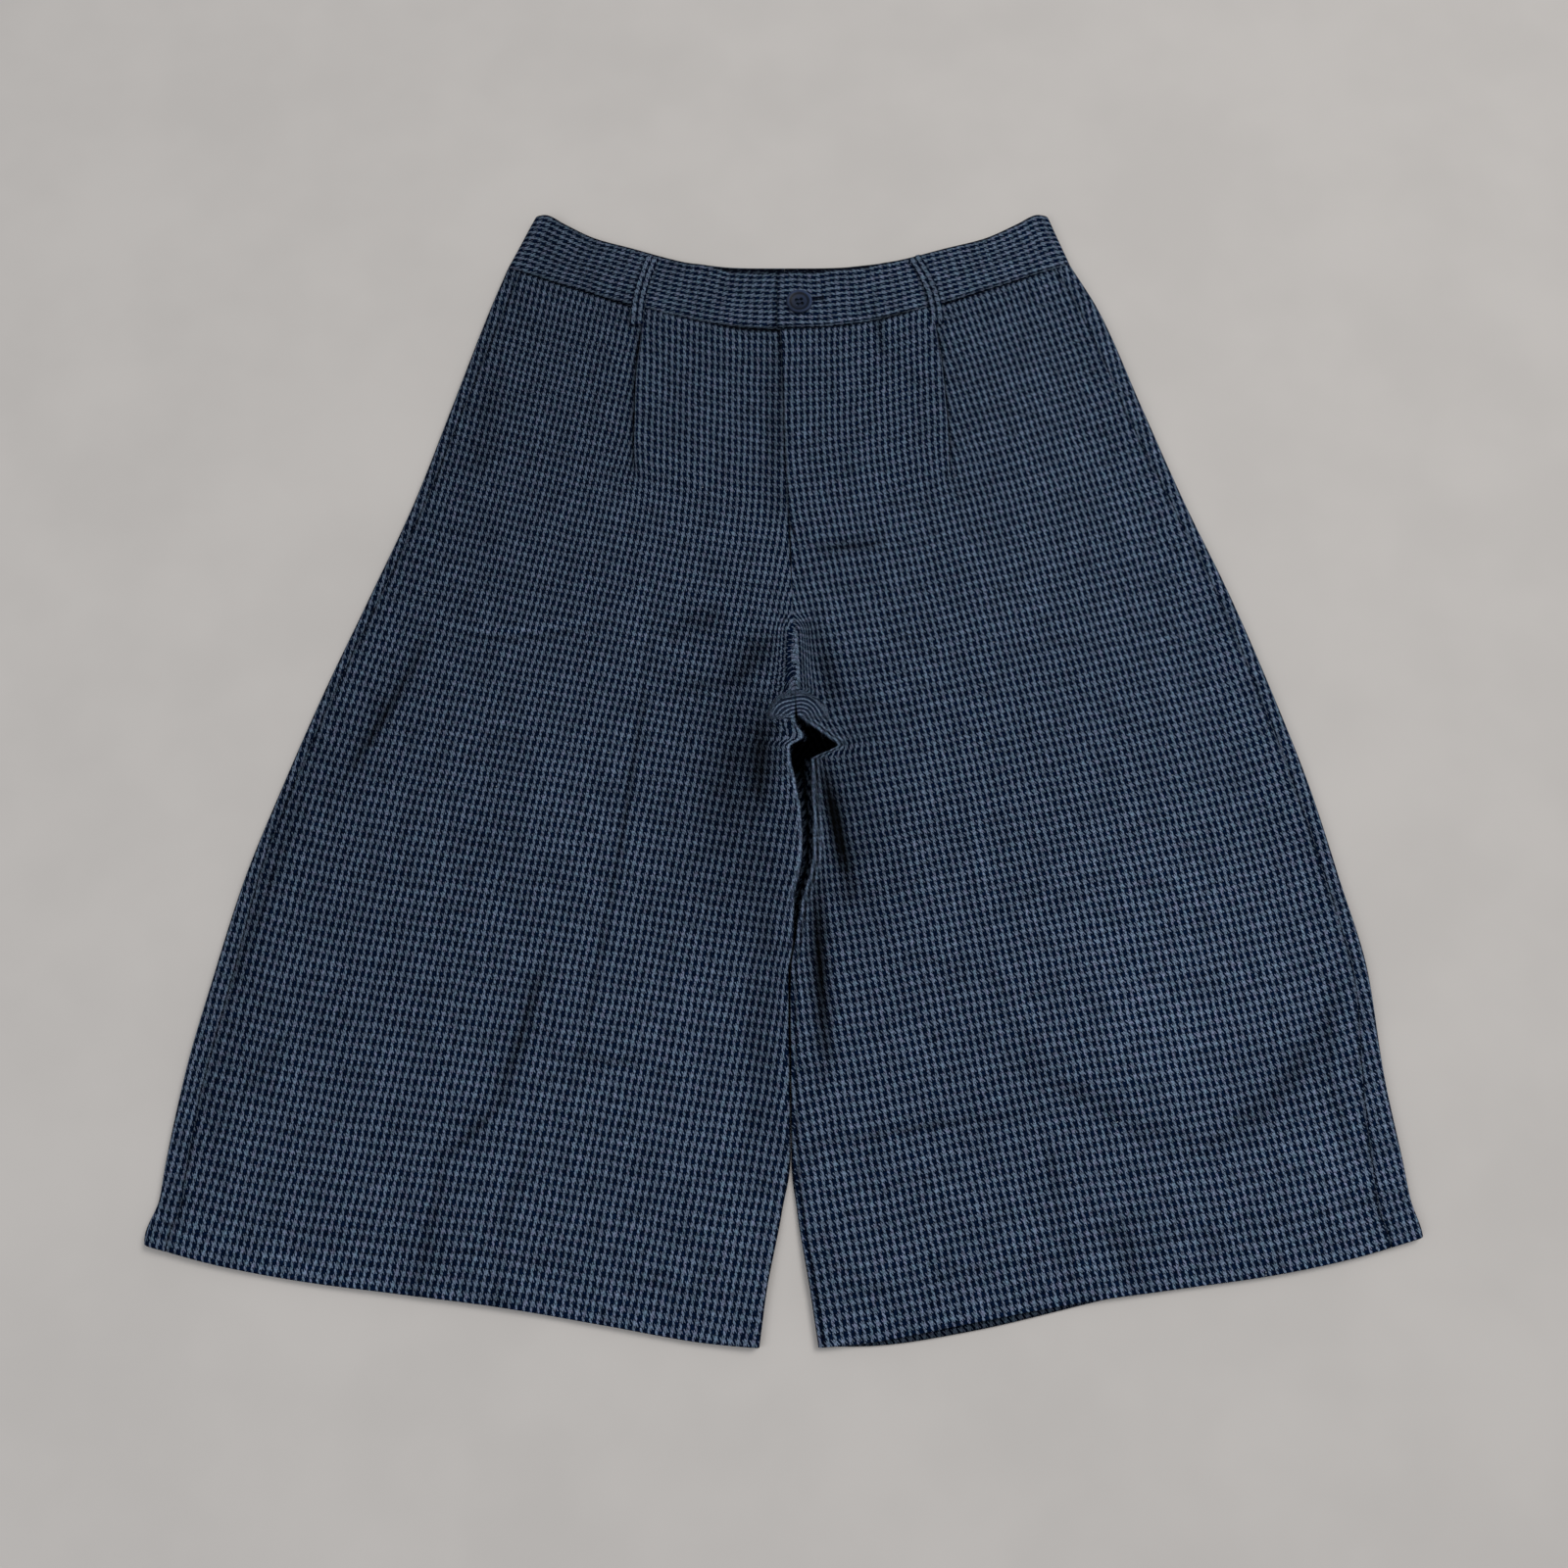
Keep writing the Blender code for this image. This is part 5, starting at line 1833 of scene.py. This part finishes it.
class Nodes:
    """Short names for the nodes of one material."""

    def __init__(self, name: str) -> None:
        """Starts a material with its Principled shader.

        Args:
            name: the material's name.
        """
        self.material = bpy.data.materials.new(name)
        self.material.use_nodes = True
        self.tree = self.material.node_tree
        self.shader = self.tree.nodes["Principled BSDF"]

    def new(self, kind: str, **settings: object) -> bpy.types.Node:
        """Makes a node.

        Args:
            kind: its type, without the ShaderNode in front.
            settings: its settings by name.

        Returns:
            The node.
        """
        node = self.tree.nodes.new("ShaderNode" + kind)
        for key, value in settings.items():
            setattr(node, key, value)
        return node

    def link(self, source: object, target: Socket) -> None:
        """Links a socket, or sets a plain value.

        Args:
            source: an output socket or a value.
            target: the input socket.
        """
        if isinstance(source, Socket):
            self.tree.links.new(source, target)
        else:
            target.default_value = source

    def fill(self, node: bpy.types.Node, **values: object) -> bpy.types.Node:
        """Links or sets a node's inputs.

        Args:
            node: the node.
            values: sources by the input's name, with _ for its spaces.

        Returns:
            The node.
        """
        for name, value in values.items():
            self.link(value, node.inputs[name.replace("_", " ")])
        return node

    def math(self, operation: str, *values: object) -> Socket:
        """Works out one Math node.

        Args:
            operation: the node's operation.
            values: its inputs in order.

        Returns:
            The result.
        """
        node = self.new("Math", operation=operation)
        for value, socket in zip(values, node.inputs):
            self.link(value, socket)
        return node.outputs[0]

    def times(self, first: object, second: object) -> Socket:
        """The product of two values."""
        return self.math("MULTIPLY", first, second)

    def between(self, value: object, low: float, high: float, to_low: float = 0.0,
                to_high: float = 1.0) -> Socket:
        """A smooth step of a value between two limits.

        Args:
            value: the value.
            low, high: where the step starts and ends.
            to_low, to_high: what it gives there.

        Returns:
            The stepped value.
        """
        node = self.new("MapRange", interpolation_type="SMOOTHSTEP")
        for source, socket in zip((value, low, high, to_low, to_high), node.inputs):
            self.link(source, socket)
        return node.outputs[0]

    def place(self) -> Socket:
        """The place on the object, in metres."""
        return self.new("TexCoord").outputs["Object"]

    def noise(self, vector: Socket, scale: float, detail: float = 2.0,
              roughness: float = 0.5) -> bpy.types.Node:
        """A Noise texture."""
        node = self.new("TexNoise")
        return self.fill(node, Vector=vector, Scale=scale, Detail=detail, Roughness=roughness)

    def split(self, vector: Socket) -> bpy.types.NodeOutputs:
        """Splits a vector or colour.

        Args:
            vector: the vector.

        Returns:
            Its three parts.
        """
        node = self.new("SeparateXYZ")
        self.link(vector, node.inputs[0])
        return node.outputs

    def mix(self, factor: object, first: object, second: object, blend: str = "MIX") -> Socket:
        """Mixes two colours.

        Args:
            factor: share of the second one.
            first, second: the colours.
            blend: how they mix.

        Returns:
            The mixed colour.
        """
        node = self.new("Mix", data_type="RGBA", blend_type=blend)
        colours = [socket for socket in node.inputs if socket.type == "RGBA"]
        for source, socket in zip((factor, first, second), (node.inputs[0], *colours)):
            self.link(source, socket)
        return next(socket for socket in node.outputs if socket.type == "RGBA")

    def lit(self, colour: Socket, brightness: Socket) -> Socket:
        """Multiplies a colour by a brightness.

        Args:
            colour: the colour.
            brightness: the brightness.

        Returns:
            The lit colour.
        """
        grey = self.new("CombineXYZ")
        for socket in grey.inputs:
            self.link(brightness, socket)
        return self.mix(1.0, colour, grey.outputs[0], "MULTIPLY")

    def attribute(self, name: str) -> Socket:
        """A mesh attribute's value."""
        return self.new("Attribute", attribute_name=name).outputs["Fac"]

    def bump(self, height: Socket, distance: float, strength: float) -> None:
        """Bump on the shader."""
        node = self.fill(self.new("Bump"), Strength=strength, Distance=distance, Height=height)
        self.fill(self.shader, Normal=node.outputs[0])


@dataclass(frozen=True)
class Houndstooth:
    """Napped suiting in a small houndstooth, woven as a twill of light and dark yarns.

    Half of the warp and half of the weft is light.  A place shows its warp where a slanted twill
    line crosses it and its weft elsewhere, and where the light bands meet they draw the teeth.
    """

    name: str = "Houndstooth suiting"
    light: tuple = (0.105, 0.143, 0.206, 1.0)
    dark: tuple = (0.0004, 0.0046, 0.0185, 1.0)
    warm: tuple = (1.20, 0.95, 1.04, 1.0)
    cool: tuple = (0.84, 1.03, 0.98, 1.0)
    fleck: tuple = (0.42, 0.48, 0.52, 1.0)
    sheen_tint: tuple = (0.62, 0.72, 0.85, 1.0)
    warp: float = 0.205
    weft: float = 0.225
    twill: float = 0.35
    twill_start: float = 0.485
    soft: float = 0.018
    hair: float = 0.30
    drift_across: float = 0.5
    drift_along: float = 0.4
    drift_scale: float = 55.0
    fuzz_scale: float = 1000.0
    mottle_scale: float = 90.0
    speckle_scale: float = 780.0
    lip: float = 0.5
    tint: float = 0.6
    tint_scale: float = 260.0
    fleck_share: float = 0.45
    fleck_rarity: float = 0.985
    fleck_scale: float = 170.0
    ribs: float = 4.0
    rib_rise: float = 0.12
    yarn_rise: float = 0.5
    fuzz_rise: float = 0.8
    relief: float = 0.00035
    sheen: float = 0.006
    specular: float = 0.03
    roughness: float = 0.92

    def band(self, make: Nodes, value: Socket, half: float, stray: Socket) -> Socket:
        """1 within `half` of the middle of a value's repeat, with a hairy edge, and 0 elsewhere.

        Args:
            make: the material's nodes.
            value: the value, which repeats at each whole number.
            half: half the band's width.
            stray: noise that frays its edge.

        Returns:
            The band.
        """
        away = make.math("ABSOLUTE", make.math("SUBTRACT", make.math("FRACT", value), 0.5))
        hairy = make.math("MULTIPLY_ADD", make.math("SUBTRACT", stray, 0.5), self.hair, half)
        return make.between(make.math("SUBTRACT", hairy, away), -self.soft, self.soft)

    def material(self) -> Material:
        """Makes the cloth's nodes, which read the Grain map and the shade and lip attributes.

        Returns:
            The material.
        """
        make = Nodes(self.name)
        grain = make.new("UVMap", uv_map="Grain").outputs[0]
        place = make.place()
        drift = make.noise(place, self.drift_scale)
        fuzz = make.noise(place, self.fuzz_scale, 2.0, 0.6)
        vectors = (grain, drift.outputs["Color"], fuzz.outputs["Color"])
        parts, drifts, strays = (make.split(vector) for vector in vectors)
        u, v = (make.math("MULTIPLY_ADD", make.math("SUBTRACT", drifts[axis], 0.5), reach, parts[axis])
                for axis, reach in enumerate((self.drift_across, self.drift_along)))
        warp = self.band(make, u, self.warp, strays[0])
        weft = self.band(make, v, self.weft, strays[1])
        twill = make.math("MULTIPLY_ADD", make.math("SUBTRACT", u, v), 2.0, self.twill_start)
        top = self.band(make, twill, self.twill, strays[2])
        yarn = make.math("MULTIPLY_ADD", make.math("SUBTRACT", warp, weft), top, weft)
        # Light yarn along the rolled edge, from the lip attribute: partly the yarn, partly a painted
        # highlight
        yarn = make.math("MAXIMUM", yarn, make.times(make.attribute("lip"), self.lip))

        mottle = make.noise(place, self.mottle_scale, 3.0, 0.6)
        speckle = make.noise(place, self.speckle_scale, 2.0, 0.6)
        bright = make.between(speckle.outputs["Fac"], 0.30, 0.72, 0.52, 1.50)
        bright = make.times(bright, make.between(mottle.outputs["Fac"], 0.25, 0.75, 0.83, 1.17))
        # Painted shade and light from the meshes' shade attribute
        bright = make.times(bright, make.attribute("shade"))
        colour = make.mix(yarn, self.dark, self.light)
        patches = make.noise(place, self.tint_scale, 1.0).outputs["Fac"]
        for cast, start, full in ((self.warm, 0.52, 0.70), (self.cool, 0.48, 0.30)):
            share = make.between(patches, start, full, 0.0, self.tint)
            colour = make.mix(share, colour, make.mix(1.0, colour, cast, "MULTIPLY"))
        colour = make.lit(colour, bright)
        cells = make.fill(make.new("TexVoronoi"), Vector=place, Scale=self.fleck_scale)
        picked = make.split(cells.outputs["Color"])
        speck = make.times(make.math("GREATER_THAN", picked[0], self.fleck_rarity),
                           make.between(cells.outputs["Distance"], 0.10, 0.04))
        colour = make.mix(make.times(speck, self.fleck_share), colour, self.fleck)
        make.fill(make.shader, Base_Color=colour, Roughness=self.roughness, Sheen_Weight=self.sheen,
                  Sheen_Roughness=0.45, Sheen_Tint=self.sheen_tint, Specular_IOR_Level=self.specular)
        ribs = make.math("ADD", make.times(u, self.ribs), make.times(v, self.ribs))
        rib = make.math("SINE", make.times(ribs, 2.0 * math.pi))
        height = make.math("ADD", make.times(yarn, self.yarn_rise), make.times(rib, self.rib_rise))
        height = make.math("ADD", height, make.times(fuzz.outputs["Fac"], self.fuzz_rise))
        make.bump(height, self.relief, 0.7)
        return make.material


@dataclass(frozen=True)
class PlainFinish:
    """A plain finish with a little mottling: button plastic, thread, lint or floor."""

    name: str
    colour: tuple
    roughness: float
    specular: float
    mottle: float = 0.12
    scale: float = 300.0
    bump: float = 0.15
    shaded: bool = False

    def material(self) -> Material:
        """Makes the finish's nodes, mottled by noise on the object's own place.

        Returns:
            The material.
        """
        make = Nodes(self.name)
        noise = make.noise(make.place(), self.scale, 3.0, 0.55).outputs["Fac"]
        low, high = ((*(value * share for value in self.colour), 1.0)
                     for share in (1.0 - self.mottle, 1.0 + self.mottle))
        colour = make.mix(make.between(noise, 0.3, 0.7), low, high)
        # The shade attribute's painted shade and highlight darken or lighten the colour
        if self.shaded:
            colour = make.lit(colour, make.attribute("shade"))
        rough = make.between(noise, 0.3, 0.7, self.roughness - 0.06, self.roughness + 0.06)
        make.fill(make.shader, Base_Color=colour, Roughness=rough, Specular_IOR_Level=self.specular)
        make.bump(noise, 0.0001, self.bump)
        return make.material


PLASTIC = PlainFinish("Button plastic", (0.0085, 0.0155, 0.0360), 0.5, 0.16, 0.15, 500.0, 0.1, shaded=True)
THREAD = PlainFinish("Navy thread", (0.004, 0.007, 0.016), 0.8, 0.05, 0.3, 2500.0, 0.4)
LINT = PlainFinish("Pale lint", (0.42, 0.47, 0.50), 0.8, 0.2)
FLOOR = PlainFinish("Pale floor", (0.50, 0.475, 0.455), 0.85, 0.2, 0.03, 9.0, 0.05)


class Lamp(NamedTuple):
    """A square soft box turned towards the shorts: place and size in metres, power and colour."""

    name: str
    place: tuple
    size: float
    watts: float
    colour: tuple


LAMPS = (
    Lamp("Key light", (1.65, 1.2, 3.3), 1.8, 84.0, (1.0, 0.985, 0.96)),
    Lamp("Fill light", (-1.6, -1.1, 2.6), 2.2, 30.0, (0.97, 0.985, 1.0)),
)


@dataclass(frozen=True)
class Studio:
    """Plain pale floor, soft light from the upper right, and the photo's camera, in metres."""

    focal_px: float = 1640.0
    frame_px: float = 1600.0
    tilt: float = 15.0
    distance: float = 1.0239
    aim_y: float = -0.035
    sensor: float = 36.0
    floor_reach: float = 4.0
    floor_level: float = -0.0001
    room_colour: tuple = (0.93, 0.96, 1.0, 1.0)
    room_strength: float = 0.36

    def camera(self) -> None:
        """The camera: tilted back from straight down, from the hem's side."""
        data = bpy.data.cameras.new("Camera")
        data.sensor_width = self.sensor
        data.lens = self.sensor * self.focal_px / self.frame_px
        data.clip_start, data.clip_end = 0.01, 50.0
        camera = bpy.data.objects.new("Camera", data)
        tilt = math.radians(self.tilt)
        camera.location = (0.0, self.aim_y - self.distance * math.sin(tilt), self.distance * math.cos(tilt))
        camera.rotation_euler = (tilt, 0.0, 0.0)
        bpy.context.scene.collection.objects.link(camera)
        bpy.context.scene.camera = camera

    def soft_box(self, lamp: Lamp) -> None:
        """Hangs a lamp and turns it towards the shorts.

        Args:
            lamp: the lamp.
        """
        data = bpy.data.lights.new(lamp.name, "AREA")
        data.shape = "SQUARE"
        data.size, data.energy, data.color = lamp.size, lamp.watts, lamp.colour
        x, y, z = lamp.place
        item = bpy.data.objects.new(lamp.name, data)
        item.location = lamp.place
        item.rotation_euler = (math.atan2(math.hypot(x, y), z), 0.0, math.atan2(y, x) + math.pi / 2)
        bpy.context.scene.collection.objects.link(item)

    def floor(self) -> None:
        """A wide flat floor just under the shorts."""
        mesh = bpy.data.meshes.new("floor")
        reach, level = self.floor_reach, self.floor_level
        corners = [(x * reach, y * reach, level) for x, y in ((-1, -1), (1, -1), (1, 1), (-1, 1))]
        mesh.from_pydata(corners, [], [(0, 1, 2, 3)])
        mesh.materials.append(FLOOR.material())
        floor = bpy.data.objects.new("floor", mesh)
        bpy.context.scene.collection.objects.link(floor)

    def build(self) -> None:
        """Sets the camera, floor, lamps and the even light of the room."""
        self.camera()
        self.floor()
        for lamp in LAMPS:
            self.soft_box(lamp)
        world = bpy.data.worlds.new("Room light")
        bpy.context.scene.world = world
        world.use_nodes = True
        background = world.node_tree.nodes["Background"].inputs
        background["Color"].default_value = self.room_colour
        background["Strength"].default_value = self.room_strength
        bpy.context.scene.view_settings.view_transform = "Standard"


@dataclass(frozen=True)
class Shorts:
    """The whole garment: its panels, waistband, loops, button and sewing."""

    cloth: Houndstooth = Houndstooth()
    shadow: Houndstooth = Houndstooth("Suiting in deep shadow", sheen=0.0, specular=0.0)
    loops: tuple = (BeltLoop(Hand.RIGHT, -90.6, -98.4, -101.0), BeltLoop(Hand.LEFT, 90.0, 101.4, 105.0))
    button: Button = Button()

    def pieces(self) -> Iterator[Piece]:
        """Builds every piece in order.

        Returns:
            The pieces, one after another.
        """
        finishes = (self.cloth, self.shadow, PLASTIC, THREAD, LINT)
        cloth, shadow, plastic, thread, fibre = (finish.material() for finish in finishes)
        for hand in (Hand.RIGHT, Hand.LEFT):
            yield BackPanel(hand).build(cloth, shadow)
            yield FrontPanel(hand).build(cloth)
            yield Waistband(hand).build(cloth)
        for loop in self.loops:
            yield loop.build(cloth)
        yield self.button.build(plastic)
        sewing = Sewing(self.button)
        yield sewing.buttonhole(thread)
        yield sewing.button_thread(thread)
        yield sewing.bartack(thread)
        yield sewing.lint(fibre)


def main() -> None:
    """Builds the shorts, reports each piece, and sets the studio round them."""
    logging.basicConfig(level=logging.INFO, format="%(name)s: %(message)s")
    for piece in Shorts().pieces():
        log.info("%s: %d faces", piece.name, len(piece.data.polygons))
    Studio().build()


if __name__ == "__main__":
    main()
